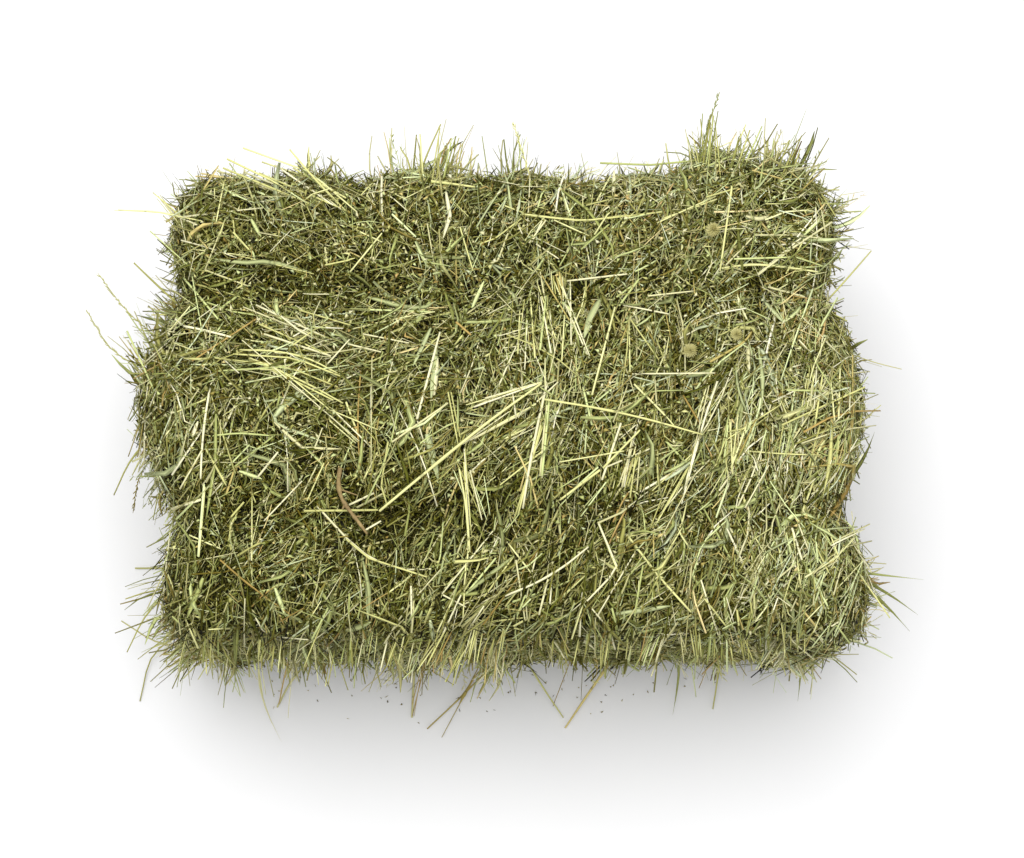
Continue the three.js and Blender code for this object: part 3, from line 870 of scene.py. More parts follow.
        # Each straw takes one column of the palette: its own map gives the place inside that column
        own = self.add("ShaderNodeSeparateXYZ", {0: self.named("straw_map", "FLOAT_VECTOR")})
        column = self.math("FLOOR", self.math("MULTIPLY", self.named("look"), PALETTE_COLUMNS - 0.01))
        inside = self.math("MULTIPLY_ADD", own.outputs[0], CELL_WIDE, CELL_SIDE)
        u = self.math("DIVIDE", self.math("ADD", column, inside), PALETTE_COLUMNS)
        rise = self.math("MULTIPLY_ADD", own.outputs[1], CELL_HIGH, CELL_FOOT)
        v = self.math("DIVIDE", self.math("ADD", self.named("hue"), rise), HUE_COUNT)
        mapped = self.store(real.outputs[0], "OFBake", self.vector(u, v, 0.0), "FLOAT2", "CORNER")
        painted = self.add("GeometryNodeSetMaterial", {"Geometry": mapped, "Material": material})
        group_out = self.add("NodeGroupOutput")
        self.tree.links.new(painted.outputs[0], group_out.inputs[0])


def shapes_named(start):
    group = bpy.data.collections.new(f"shapes_{start}")
    for obj in SHAPES.objects:
        if obj.name.startswith(start):
            group.objects.link(obj)
    return group


STEMS, BLADES, WISPS = (shapes_named(start) for start in ("stem_", "blade_", "wisp_"))
NEEDLES, CRUMBS, CURLS = (shapes_named(start) for start in ("needle_", "crumb_", "curl_"))
ANY_WAY = math.pi

# %% [markdown]
# The layers. Pressed hay is crumbled leaf at the bottom, then stems, blades and hair-fine stalks over
# and between it, the palest stems on top. One mixed layer would look like a carpet; layers of their own
# depth let dark gaps show below pale straws, as in the photo.

# %% The layers of the coat
scatter = Scatter("hay_coat")
scatter.layer(
    CRUMBS, per_m2=54000, coarse_gain=-0.5, turn=ANY_WAY, tip=(-1.2, 1.2), depth=(-9, 1),
    lengths=(0.6, 1.5), widths=(0.7, 1.5), tones=(0.12, 0.74), seed=10,
)
scatter.layer(
    CRUMBS, per_m2=17000, coarse_gain=-1.1, turn=ANY_WAY, tip=(-0.9, 0.9), depth=(0.5, 3.5),
    lengths=(0.6, 1.6), widths=(0.6, 1.4), tones=(0.2, 0.85), seed=150,
)
scatter.layer(
    CURLS, per_m2=9500, coarse_gain=-0.5, turn=ANY_WAY, tip=(-0.7, 0.7), depth=(-5, 3),
    lengths=(0.7, 1.4), widths=(0.6, 1.3), tones=(0.2, 0.8), seed=190,
)
scatter.layer(
    NEEDLES, per_m2=14000, coarse_gain=-0.3, turn=2.8, tip=(-0.6, 0.6), depth=(-7, 2.5),
    lengths=(0.6, 1.6), widths=(0.6, 1.2), tones=(0.2, 0.85), seed=20, bunched=0.3,
)
scatter.layer(
    STEMS, per_m2=9000, coarse_gain=0.7, turn=1.7, tip=(-0.12, 0.12), depth=(-9, -1),
    lengths=(0.5, 1.1), widths=(0.5, 1.0), tones=(0.35, 0.95), seed=30, bunched=0.6,
)
scatter.layer(
    BLADES, per_m2=4200, coarse_gain=0.0, turn=1.8, tip=(-0.15, 0.15), depth=(-6, 2),
    lengths=(0.6, 1.4), widths=(0.35, 0.85), tones=(0.4, 0.82), seed=50, bunched=0.4, hues=(0.5, 0.9),
)
scatter.layer(
    WISPS, per_m2=14500, coarse_gain=-0.1, turn=2.0, tip=(-0.2, 0.2), depth=(-6, 3),
    lengths=(0.5, 1.5), widths=(0.8, 1.4), tones=(0.26, 0.9), seed=70, bunched=0.5,
)
scatter.layer(
    STEMS, per_m2=4800, coarse_gain=1.1, turn=1.4, tip=(-0.07, 0.07), depth=(-3, 2),
    lengths=(0.35, 1.5), widths=(0.5, 1.3), tones=(0.5, 0.97), seed=90, bunched=0.55,
)
# A few broad grass blades
scatter.layer(
    BLADES, per_m2=300, coarse_gain=0.0, turn=1.6, tip=(-0.1, 0.1), depth=(0, 3),
    lengths=(0.8, 1.4), widths=(0.9, 1.4), tones=(0.55, 0.84), seed=210, hues=(0.5, 0.9),
)
# Straws that spring out of the sides, one end still in the bale
scatter.layer(
    WISPS, per_m2=1100, coarse_gain=0.0, turn=1.6, tip=(-0.5, -0.1), depth=(0, 6),
    lengths=(0.5, 1.0), widths=(1.0, 1.7), tones=(0.4, 0.8), seed=110, where="edge",
)
scatter.layer(
    STEMS, per_m2=600, coarse_gain=0.0, turn=1.5, tip=(-0.5, -0.1), depth=(-2, 6),
    lengths=(0.5, 0.8), widths=(0.5, 1.0), tones=(0.45, 0.85), seed=130, where="edge",
)
scatter.close(STRAW)
print("layers", len(scatter.layers), "scatter nodes", len(scatter.tree.nodes))

# %% [markdown]
# The coat of each flake. On the real bale the straws of two flakes lock into each other, so a coat runs
# a little over its flake's end. Each flake grows its own coat by its own seed and is written as one
# mesh, so that it can be used again alone. Straws that would poke below the floor or far above the bale
# are held back.

# %% Lay the coat on each flake
COAT_SEED = 100
# Straws on the top may rise to this height; what is above it leans down to a share of its excess
TOP_LIMIT = CAD_BOX[1][2] + 0.004
LEAN_SHARE = 0.25
FLOOR_CLEARANCE = 0.0006
KEPT_VALUES = ("position", "OFBake", "material_index", "sharp_face")


def applied(obj, name):
    """The evaluated mesh of an object as a new plain object; the old one goes."""
    depsgraph = bpy.context.evaluated_depsgraph_get()
    mesh = bpy.data.meshes.new_from_object(obj.evaluated_get(depsgraph))
    mesh.name = name
    bpy.data.objects.remove(obj)
    return link(name, mesh)


def tidy_mesh(mesh):
    """Drops helper values, keeps every point above the floor and leans down what stands up too high."""
    for attribute in list(mesh.attributes):
        if attribute.name not in KEPT_VALUES and not attribute.name.startswith("."):
            mesh.attributes.remove(attribute)
    points = np.empty(len(mesh.vertices) * 3, dtype=np.float32)
    mesh.vertices.foreach_get("co", points)
    heights = points[2::3]
    leaned = TOP_LIMIT + (heights - TOP_LIMIT) * LEAN_SHARE
    heights = np.where(heights > TOP_LIMIT, leaned, heights)
    points[2::3] = np.maximum(heights, FLOOR_CLEARANCE)
    mesh.vertices.foreach_set("co", points)
    mesh.update()


seed_id = scatter.seed_socket.identifier
for number, flake in enumerate(FLAKES):
    skin = skin_of(flake)
    modifier = skin.modifiers.new("coat", "NODES")
    modifier.node_group = scatter.tree
    modifier[seed_id] = COAT_SEED + number
    coat = applied(skin, f"hay_coat_{number + 1}")
    tidy_mesh(coat.data)
    coat.data.calc_loop_triangles()
    print(coat.name, "triangles", len(coat.data.loop_triangles), "maps", len(coat.data.uv_layers))
    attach(coat, "root")

# %% [markdown]
# Behind the coat. The hay goes on for as deep as one can see between the straws. So each flake gets a
# body a few millimetres inside its CAD solid, streaked and dark with painted shade, and the coat fills the
# space above.

# %% The dark hay behind the coat
DEPTH_SCALE = (0.976, 0.965, 0.976)

for number, flake in enumerate(FLAKES):
    mesh = nodes[flake].data.copy()
    mesh.name = f"packed_hay_{number + 1}"
    points = np.empty(len(mesh.vertices) * 3)
    mesh.vertices.foreach_get("co", points)
    mesh.vertices.foreach_set("co", (points.reshape(-1, 3) * DEPTH_SCALE).ravel())
    mesh.materials.clear()
    mesh.materials.append(PACKED_HAY)
    body = link(mesh.name, mesh)
    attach(body, "root")
    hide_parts(flake)
print("bodies behind the coat", len(FLAKES))

# %% [markdown]
# Straws that stand out. At its ends, walls and back rim the bale is frayed. A tuft is a handful of
# straws that grow from one stretch of the skin and fan out one way: over the floor in front, along the
# walls at the ends, and out from the back rim. Each straw's foot is snapped to the nearest place of the
# skin and starts inside it, so it is held from any side. A search tree of the flakes' faces finds it.

# %% A search tree of the bale's skin, and one mesh of many straws
bale_points, bale_faces = [], []
for flake in FLAKES:
    mesh = nodes[flake].data
    start = len(bale_points)
    bale_points += [v.co.copy() for v in mesh.vertices]
    bale_faces += [[start + i for i in face.vertices] for face in mesh.polygons]
bale_tree = BVHTree.FromPolygons(bale_points, bale_faces)
print("search tree of", len(bale_faces), "faces")


def cell_place(column, row, u, v):
    """A place of a straw's own map, moved into one cell of the palette."""
    across = (column + CELL_SIDE + CELL_WIDE * u) / PALETTE_COLUMNS
    return across, (row + CELL_FOOT + CELL_HIGH * v) / HUE_COUNT


def straw_mesh(name, strands, instead_of=None):
    """One object of many strands, each with its tone and hue: one cell of the palette."""
    corners, faces, uvs = [], [], []
    for (own_corners, own_faces, own_uvs), tone, hue in strands:
        column = math.floor(min(0.999, max(0.0, tone)) * PALETTE_COLUMNS)
        row = HUE_NAMES.index(hue)
        faces += [tuple(len(corners) + i for i in face) for face in own_faces]
        corners += own_corners
        uvs += [cell_place(column, row, u, v) for u, v in own_uvs]
    mesh = bpy.data.meshes.new(name)
    mesh.from_pydata(corners, [], faces)
    bake_map = mesh.uv_layers.new(name="OFBake")
    bake_map.data.foreach_set("uv", np.array(uvs, dtype=np.float32).ravel())
    mesh.polygons.foreach_set("use_smooth", [True] * len(mesh.polygons))
    mesh.materials.append(STRAW)
    obj = link(name, mesh)
    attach(obj, "root")
    if instead_of:
        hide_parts(instead_of)
    return obj


def any_hue(rng):
    return rng.choices(HUE_NAMES, [share for _, share in HAY_HUES.values()])[0]


# %% [markdown]
# Tufts. The frayed rim is seen as bundles: a few stems that left the press together, with a gap to the
# next. Single straws spread evenly would look like fur, so each tuft draws small bundles that share a
# place, a way and a tone.

# %% Tufts
# Low and high corner of the feet, direction, fan, straws, lengths and tones of each tuft (mm)
TUFTS = [
    # the left end: back corner, wall, low down
    ((-370, 120, 150), (-330, 240, 330), (-0.6, 0.9, 0.1), 0.5, 120, (20, 55), (0.35, 0.75)),
    ((-370, -30, 100), (-340, 110, 320), (-0.35, 0.9, 0.1), 0.45, 210, (25, 65), (0.35, 0.75)),
    ((-370, -160, 60), (-330, -30, 300), (-0.3, -0.95, 0.0), 0.4, 150, (25, 60), (0.35, 0.75)),
    # the front, from the left corner to the right corner
    ((-370, -250, 60), (-320, -170, 300), (-0.8, -0.7, 0.0), 0.35, 190, (25, 70), (0.4, 0.85)),
    ((-320, -260, 60), (-180, -240, 300), (0.0, -1.0, -0.1), 0.35, 150, (20, 50), (0.45, 0.85)),
    ((-180, -260, 60), (-90, -240, 280), (0.1, -1.0, -0.1), 0.35, 70, (15, 40), (0.35, 0.75)),
    ((-120, -260, 60), (0, -240, 300), (-0.3, -1.0, -0.1), 0.3, 160, (25, 60), (0.45, 0.92)),
    ((0, -260, 60), (120, -240, 290), (0.1, -1.0, -0.2), 0.4, 80, (15, 45), (0.35, 0.75)),
    ((120, -260, 80), (340, -240, 290), (0.0, -1.0, -0.1), 0.4, 170, (15, 45), (0.45, 0.9)),
    ((320, -250, 60), (370, -140, 300), (0.9, -0.5, 0.0), 0.5, 120, (25, 60), (0.35, 0.8)),
    # the right end: wall, back corner
    ((340, -140, 60), (370, 110, 320), (0.4, 0.9, 0.1), 0.6, 170, (20, 45), (0.4, 0.8)),
    ((330, 110, 100), (360, 240, 330), (1.0, 0.5, 0.2), 0.6, 90, (20, 55), (0.4, 0.85)),
    # the back rim, from the right to the left, and the back wall
    ((170, 230, 200), (330, 270, 345), (0.5, 0.9, 0.1), 0.35, 360, (25, 62), (0.42, 0.76)),
    ((30, 230, 180), (180, 260, 335), (0.5, 0.9, 0.1), 0.6, 130, (15, 42), (0.45, 0.95)),
    ((-120, 230, 180), (20, 260, 330), (0.25, 1.0, 0.15), 0.45, 210, (20, 62), (0.5, 0.95)),
    ((-340, 220, 180), (-120, 260, 330), (-0.5, 0.9, 0.1), 0.6, 220, (20, 50), (0.5, 0.95)),
    ((-340, 230, 20), (340, 270, 180), (0.0, 1.0, 0.0), 0.7, 150, (20, 45), (0.3, 0.8)),
]
# Shares of the kinds of straw in a tuft
WISP_SHARE, STEM_SHARE, BLADE_SHARE = 0.16, 0.56, 0.18
TUFT_SEED = 5
# A bundle's straws: how many, how far their feet spread in metres, how much their ways differ
BUNDLES = (1, 3, 5, 8, 12)
BUNDLE_SPREAD = 0.010
BUNDLE_FAN = 0.12
# A straw leans out from the wall by this share, rises no steeper than this, starts this deep inside
LEAN_OUT = 0.25
STEEPEST = 0.35
FOOT_DEPTH = 0.006


def placed(parts, foot, way, roll):
    """A strand made along X around the origin, moved so that it starts at foot and runs along way."""
    corners, faces, uvs = parts
    turn = way.to_track_quat("X", "Z").to_matrix() @ Matrix.Rotation(roll, 3, "X")
    start = min(corner.x for corner in corners)
    moved = [foot + turn @ (corner - Vector((start, 0, 0))) for corner in corners]
    for corner in moved:
        corner.z = max(corner.z, FLOOR_CLEARANCE)
    return moved, faces, uvs


def tuft(low, high, direction, fan, count, lengths, tones, rng):
    """Straws in small bundles. A bundle shares its place, its way and its tone, with some play."""
    straws = []
    while len(straws) < count:
        middle = Vector([rng.uniform(a, b) for a, b in zip(low, high)]) * MM
        lean = Vector(direction).normalized() + fan * Vector([rng.gauss(0, 1) for _ in range(3)])
        tone = rng.uniform(*tones)
        reach = rng.uniform(0.6, 1.15)
        for _ in range(rng.choice(BUNDLES)):
            place = middle + Vector([rng.gauss(0, BUNDLE_SPREAD) for _ in range(3)])
            own_way = lean.normalized() + BUNDLE_FAN * Vector([rng.gauss(0, 1) for _ in range(3)])
            length = rng.uniform(*lengths) * reach
            straws.append(standing_straw(place, own_way, length, tone + rng.uniform(-0.12, 0.12), rng))
    return straws


def standing_straw(place, way, long, tone, rng):
    """A straw with its foot in the bale at the skin nearest to a place."""
    skin, normal, _, _ = bale_tree.find_nearest(place)
    way = way.normalized() + LEAN_OUT * normal
    way.z = min(way.z, STEEPEST)
    way = way.normalized()
    if way.dot(normal) < 0.1:
        way = (way + 0.5 * normal).normalized()
    kind = rng.random()
    if kind < WISP_SHARE:
        bend, sag, kink = rng.uniform(-12, 12), rng.uniform(-3, 6), rng.uniform(-6, 6)
        parts = wisp(long * 1.15, bend, sag, kink, rng.uniform(0.9, 1.6))
    elif kind < WISP_SHARE + STEM_SHARE:
        bend, sag, kink = rng.uniform(-5, 5), rng.uniform(0, 4), rng.choice((0, 0, 9, -7))
        parts = stem(long, bend, sag, kink, rng.uniform(1.2, 2.5))
    elif kind < WISP_SHARE + STEM_SHARE + BLADE_SHARE:
        twist, wide = rng.uniform(0.4, 2.5), rng.uniform(3, 6.5)
        parts = blade(long * 0.9, rng.uniform(-10, 10), rng.uniform(2, 9), rng.uniform(-12, 12), twist, wide)
    else:
        parts = sprig(rng.randint(4, 6), min(long, 55), rng.uniform(-9, 9), rng)
    return placed(parts, skin - normal * FOOT_DEPTH, way, rng.uniform(-3, 3)), tone, any_hue(rng)


rng = random.Random(TUFT_SEED)
standing = []
for measures in TUFTS:
    standing += tuft(*measures, rng)
straw_mesh("standing_straws", standing)
print("standing straws", len(standing))

# Crumbs that fell on the floor in front
FALLEN = 70
fallen = []
for _ in range(FALLEN):
    parts = crumb([Vector(corner) * rng.uniform(0.3, 0.6) for corner in rng.choice(CRUMB_CORNERS)])
    foot = Vector((rng.uniform(-280, 250), rng.gauss(-275, 18), 0.8)) * MM
    way = Vector((rng.gauss(0, 1), rng.gauss(0, 1), 0)).normalized()
    fallen.append((placed(parts, foot, way, 0.0), rng.uniform(0.25, 0.6), "ochre"))
straw_mesh("fallen_crumbs", fallen)

# %% [markdown]
# The straws that the eye picks out. Those too fine to be solids of their own are given by their
# places in the photo. A ray from the camera through each place meets the bale, and the straw lies on
# what the ray meets, kept nearly straight because a dry stem is stiff.

# %% Long straws by their places in the photo
# Each kind: width, thickness, tone (0 dark to 1 pale) and hues. Widths are in millimetres.
STRAW_KINDS = {
    "pale": (2.2, 1.8, 0.81, ("plain", "plain", "green")),
    "straw": (2.0, 1.7, 0.75, ("plain", "yellow", "yellow")),
    "green": (2.3, 1.8, 0.68, ("green", "yellow")),
    "thin": (1.4, 1.3, 0.78, ("plain", "yellow", "green")),
    "leaf": (5.0, 0.8, 0.62, ("grey", "grey", "green")),
    "pale_leaf": (4.6, 0.8, 0.74, ("plain", "grey", "green")),
    "wide_leaf": (7.5, 0.8, 0.68, ("grey", "grey", "green")),
    "dark_leaf": (5.0, 0.8, 0.44, ("grey",)),
    "dark": (1.6, 1.3, 0.5, ("green", "plain", "ochre")),
    "brown": (2.2, 1.8, 0.66, ("rust", "ochre")),
    "brown_leaf": (5.0, 0.9, 0.66, ("rust",)),
}
LONG_STRAWS = """
straw 243,148 310,172 357,212
straw 223,168 311,204
straw 259,173 338,207
straw 224,182 216,223
thin 118,210 157,212 202,221
straw 205,270 248,286
straw 205,270 220,232
straw 233,232 251,252
pale_leaf 251,219 261,237
leaf 215,259 243,263 269,261 310,272
straw 325,265 350,260
straw 325,247 327,265
straw 350,272 382,233
straw 354,229 382,242
leaf 368,297 399,306 422,309 436,301
straw 299,310 350,325
green 350,309 435,312
pale 243,307 311,334
pale 256,305 325,337
thin 250,358 284,372 331,411
straw 259,324 327,354
straw 264,334 331,356
brown 192,361 256,319
green 218,371 284,367 304,360
pale 348,344 381,352
straw 363,334 409,343
thin 192,275 202,332
green 183,277 218,319
thin 150,231 197,273
green 127,331 154,390
thin 242,340 359,441
straw 215,358 286,366 338,387
straw 249,358 333,400
pale_leaf 192,437 198,421
pale 204,484 198,557
straw 189,535 221,549
green 209,436 239,433 275,436
thin 252,507 251,565
straw 177,412 206,399
straw 180,489 202,450
pale 172,509 201,500
straw 244,502 231,517
straw 300,500 323,453
straw 307,501 324,463
straw 317,506 346,538 372,560 398,570 431,569
green 304,511 378,510
pale 349,505 374,493
pale 364,531 381,521
thin 372,358 371,468
pale 396,434 425,423 447,403
pale 417,419 440,332
pale_leaf 434,395 438,358
straw 451,392 461,442
leaf 427,434 438,479
straw 364,479 380,447
straw 346,402 359,437
straw 500,485 554,442
straw 470,440 527,411 558,382
thin 466,405 542,382
pale 442,594 493,531
straw 540,476 545,419
straw 387,594 412,575
pale_leaf 275,588 286,617
leaf 367,581 368,620
pale_leaf 239,471 262,479
pale 565,304 589,358
straw 632,374 715,373
straw 631,320 659,360
straw 592,395 615,307
pale 583,387 592,425
straw 604,468 654,447
green 666,441 685,462
pale 640,492 686,465
pale_leaf 748,344 749,371
brown 710,362 745,342 752,331
straw 782,425 865,387
straw 598,522 618,569 587,601
green 627,535 659,577 691,612
leaf 616,614 670,606
pale 689,588 702,543 726,521
straw 701,580 721,644
straw 745,508 769,465
straw 731,468 748,422
straw 793,532 801,588
pale 809,569 828,607
straw 849,559 890,618
straw 737,610 742,652
straw 705,599 726,626
thin 560,462 624,451
straw 603,468 640,430
brown 683,395 699,422
leaf 790,510 804,468
brown_leaf 831,516 847,489 856,464
straw 524,215 584,221 627,215
straw 584,221 662,212
green 431,181 475,187
dark_leaf 738,232 743,274
pale 726,265 755,235 798,235 838,241
pale 758,274 801,238
pale_leaf 804,235 835,204
straw 786,274 804,239
straw 732,186 720,271
straw 662,219 717,199
green 614,299 639,281
straw 567,281 627,274
straw 623,305 669,314
pale 648,296 694,291
brown 541,274 571,323
straw 542,221 532,242
thin 584,235 590,265
pale_leaf 614,192 614,170
pale_leaf 446,192 450,216 443,238
pale_leaf 472,308 484,281
green 600,163 650,165 702,160
leaf 216,414 215,461 206,520
straw 205,487 199,557
thin 252,490 252,576
straw 547,405 542,478
straw 448,392 458,444
straw 173,508 201,499
straw 716,196 657,223
thin 624,219 663,211
straw 346,539 368,558 427,577
straw 392,442 448,403
straw 598,522 617,569
straw 522,214 587,221
straw 227,159 275,182 310,205
straw 217,171 239,177 293,198
straw 262,162 304,176 342,196
pale 275,165 333,205
straw 293,168 346,198
pale 246,173 284,188
straw 172,214 197,225
straw 233,220 235,236 252,253
thin 236,255 314,274
straw 329,265 355,258
pale 392,214 416,237
straw 460,227 473,271
leaf 426,256 465,258
brown 456,322 471,335
straw*9,26 658,520 692,460
pale*3,8 686,486 714,388
straw*7,26 622,487 632,440
pale 602,480 621,423
straw 738,506 750,481 762,449
leaf*3,14 735,421 752,378
green*8,26 722,480 728,425
straw*9,66 815,425 823,372
green*8,70 808,470 820,425
thin 770,481 787,507 805,528
pale*4,20 792,528 802,560
green*7,46 824,532 842,562
thin 726,440 780,405
straw 791,443 812,410 827,378
pale_leaf 742,437 752,421
straw 634,384 660,410 676,428
straw 664,558 682,528
pale 758,275 791,249 832,222
pale*3,10 805,233 830,208
green 734,259 797,257 825,267
pale_leaf 746,216 758,219 773,216
green 619,306 639,279
pale 768,287 805,297
pale_leaf 764,301 783,322
straw 629,320 630,372
straw 560,280 590,357
green 431,182 475,187
straw 480,244 496,238 522,218
straw 503,205 524,213
pale 529,243 546,220
straw 554,220 589,236
leaf 562,190 590,211 612,246 614,261
straw 536,244 559,259
straw 491,263 498,261 508,233
straw*7,40 545,300 540,271
brown*2,12 562,300 556,275
straw 466,560 463,618
pale 443,595 466,607
straw*4,14 440,640 461,595
pale 466,633 484,606
green 466,594 496,558
leaf 468,592 514,556
straw 484,597 514,556
pale_leaf 430,620 434,642
pale 411,586 412,633
straw 516,560 525,620
straw 507,542 532,574
pale 532,572 538,549
pale 539,615 548,579
pale 550,604 552,572
straw 598,615 634,554
green 612,608 621,643
green 629,661 636,606 643,565
green 629,635 666,626
thin 514,628 540,634 570,636
thin 448,629 471,642 494,647
green 233,354 295,358 340,376
thin 214,357 302,371
pale_leaf 274,422 302,448 342,449
green 233,468 275,435
pale 257,478 278,452
straw 206,449 226,485
brown 226,495 235,468
thin 264,521 302,481
pale*4,16 474,407 540,383
straw*3,12 470,440 536,404
straw*3,10 518,515 541,425
pale 542,476 549,402
straw*8,80 535,358 530,294
green*5,70 540,350 546,296
leaf 431,328 413,366
straw*5,14 464,462 470,552
straw 388,442 381,485 388,508
straw*5,22 333,410 372,448
leaf 415,505 432,465
wide_leaf 436,349 434,372 431,398
wide_leaf 427,434 432,455 438,479
wide_leaf 344,630 356,628 371,622
leaf 203,578 195,598 187,618
wide_leaf 600,300 590,318 584,338
thin*6,30 470,470 482,520
thin*8,60 560,330 548,380
thin*8,60 500,340 540,330
green*6,50 600,470 560,500
"""

# No tip stands further behind the bale than this, and a hanging straw starts this deep in the bale
BACK_LIMIT = CAD_BOX[1][1] + 0.02
HANG_DEPTH = 0.008
LONG_SEED = 11
# How far a long straw lies above its line in mm, and how far that line may rise over the hay
LIFT_MM = (2.0, 4.5)
CEILING_MM = 3
# A stiff straw bridges the dips: its line is raised by this share of what would clear every place
BRIDGE_SHARE = 0.4
# Straws of one bunch: how they turn, slide along, and differ in size
BUNCH_TURN, BUNCH_SLIDE, BUNCH_SIZES = 0.13, 0.25, (0.6, 1.05)
# Those beside the first are slimmer and differ more in tone; those at the rim are slim and darker by painted
# shade
TONE_PLAY, BESIDE_PLAY, EDGE_PLAY = 0.08, 0.16, 0.14
BESIDE_SLIM, EDGE_SLIM = (0.5, 0.9), (0.45, 0.8)
EDGE_PAINTED_SHADE = 0.1

# %% [markdown]
# Straws over the rim. Bunches hang over the front and stand out at the ends and the back, and they make
# the bale's outline in the photo. Their feet are found by the same rays; how high a tip stands can't be
# seen from above, so it is given.

# %% Straws over the rim, by their places in the photo
# Foot on the bale, tip, and the tip's height in millimetres
EDGE_STRAWS = """
pale_leaf 186,628 190,686 60
thin 190,632 177,687 250
straw 188,622 178,671 280
thin 205,634 213,679 250
dark*6,14 240,640 218,695 200
straw 266,650 274,697 30
straw*2,6 258,650 263,696 24
brown*2,6 294,648 279,704 60
thin 297,648 288,718 60
straw 329,614 304,667 335
straw*2,5 340,638 328,685 290
green 334,655 348,690 60
green*2,5 359,652 354,688 60
green 371,655 381,687 60
pale 388,636 380,672 310
brown*4,12 428,648 414,716 60
straw*8,24 472,632 446,682 300
brown 459,629 436,663 320
straw*4,12 455,622 427,665 320
pale*8,16 668,622 647,669 315
dark 626,650 615,684 30
dark 620,650 606,678 30
dark 581,655 581,700 6
brown 575,652 553,706 6
green 659,655 654,692 50
thin 686,655 696,697 10
brown 716,652 699,688 12
straw 755,640 762,668 300
straw*2,6 812,645 810,694 60
dark 855,615 868,643 160
green*6,30 207,626 203,668 300
leaf*2,20 240,622 236,664 300
green*5,30 262,630 262,668 300
straw*3,24 292,628 290,664 310
dark*5,30 320,628 318,668 295
green*5,30 352,628 350,666 300
thin*5,30 378,622 374,662 310
straw*6,24 408,622 398,664 315
green*5,30 430,620 415,664 315
straw*7,26 480,622 468,664 315
green*5,30 505,622 498,658 310
dark*5,30 530,620 524,654 310
green*5,30 556,622 552,656 310
green*5,30 590,625 584,660 305
straw*5,24 612,622 604,662 310
green*5,26 640,622 634,664 310
straw*5,26 690,622 698,664 310
green*6,30 715,620 712,656 310
straw*5,26 738,625 744,660 310
green*6,30 770,618 768,650 315
straw*6,28 795,620 798,652 315
green*6,26 822,612 826,648 315
thin*5,26 842,600 852,634 315
green*8,22 166,404 136,342 300
straw*5,12 172,385 152,335 325
straw*6,14 152,432 133,474 250
dark*5,18 180,272 158,238 320
dark*5,14 176,546 152,554 90
straw*6,14 186,240 158,196 345
dark*2,5 204,190 197,165 350
straw*4,10 432,186 440,128 362
straw*3,8 424,188 420,134 360
green*3,10 442,186 456,136 362
green*2,6 455,186 463,143 356
dark 489,184 482,136 362
thin 522,184 518,131 366
thin 508,184 527,137 366
dark 588,186 581,153 350
dark 622,184 617,152 350
green*9,24 706,178 713,112 362
straw*5,16 700,186 692,132 356
green*6,20 735,178 750,130 356
straw*7,34 772,178 790,140 350
pale*4,24 800,192 820,166 340
"""


# %% Ways to lay, hang and draw a straw


def on_bale(px, py):
    """Where the ray through a place of the photo meets the bale, or None."""
    origin, way = photo_ray(px, py)
    hit, _, _, _ = bale_tree.ray_cast(origin, way)
    return hit


def at_height(px, py, z):
    origin, way = photo_ray(px, py)
    return origin + way * ((z - origin.z) / way.z)


def lay_straw(places, lift, steps=6):
    """Points of a stiff straw through places of the photo, resting on the bale."""
    corners = [Vector((*place, 0)) for place in places]
    lengths = [0.0]
    for a, b in zip(corners, corners[1:]):
        lengths.append(lengths[-1] + (b - a).length)
    samples, heights = [], []
    for k in range(steps + 1):
        distance = lengths[-1] * k / steps
        i = max(j for j in range(len(lengths) - 1) if lengths[j] <= distance + 1e-6)
        share = (distance - lengths[i]) / (lengths[i + 1] - lengths[i])
        place = corners[i].lerp(corners[i + 1], share)
        hit = on_bale(place.x, place.y)
        samples.append(place)
        heights.append(hit.z if hit else None)
    known = [h for h in heights if h is not None]
    if not known:
        return []
    heights = [h if h is not None else min(known) for h in heights]
    # A straight line just above the highest places, so that the straw bridges the dips
    line = np.polyfit(range(len(heights)), heights, 1)
    level = [np.polyval(line, k) for k in range(len(heights))]
    rise = max(h - l for h, l in zip(heights, level))
    ceiling = max(known) + CEILING_MM * MM
    level = [min(ceiling, max(h, l + BRIDGE_SHARE * rise)) for h, l in zip(heights, level)]
    return [at_height(p.x, p.y, z + lift) for p, z in zip(samples, level)]


def hang_straw(places, height, steps=5):
    """Points of a straw whose foot is in the bale at the first place and whose tip stands free."""
    origin, way = photo_ray(*places[0])
    hit, normal, _, _ = bale_tree.ray_cast(origin, way)
    if hit is None:
        return []
    foot, tip = hit - normal * HANG_DEPTH, at_height(*places[-1], height * MM)
    tip.y = min(tip.y, BACK_LIMIT)
    rise = 0.06 * (tip - foot).length
    points = []
    for k in range(steps + 1):
        arch = rise * 4 * k / steps * (1 - k / steps)
        points.append(foot.lerp(tip, k / steps) + Vector((0, 0, arch)))
    return points


def side_by_side(places, count, spread, rng):
    """A straw's places, and those of others that lie beside it in one bunch, within a spread in pixels."""
    yield places
    along = Vector(places[-1]) - Vector(places[0])
    across = Vector((-along.y, along.x)).normalized()
    middle = (Vector(places[0]) + Vector(places[-1])) / 2
    for _ in range(count - 1):
        turn = Matrix.Rotation(rng.gauss(0, BUNCH_TURN), 2)
        shift = across * rng.uniform(-spread / 2, spread / 2)
        shift += along * rng.uniform(-BUNCH_SLIDE, BUNCH_SLIDE)
        size = rng.uniform(*BUNCH_SIZES)
        yield [tuple(middle + shift + turn @ (Vector(place) - middle) * size) for place in places]


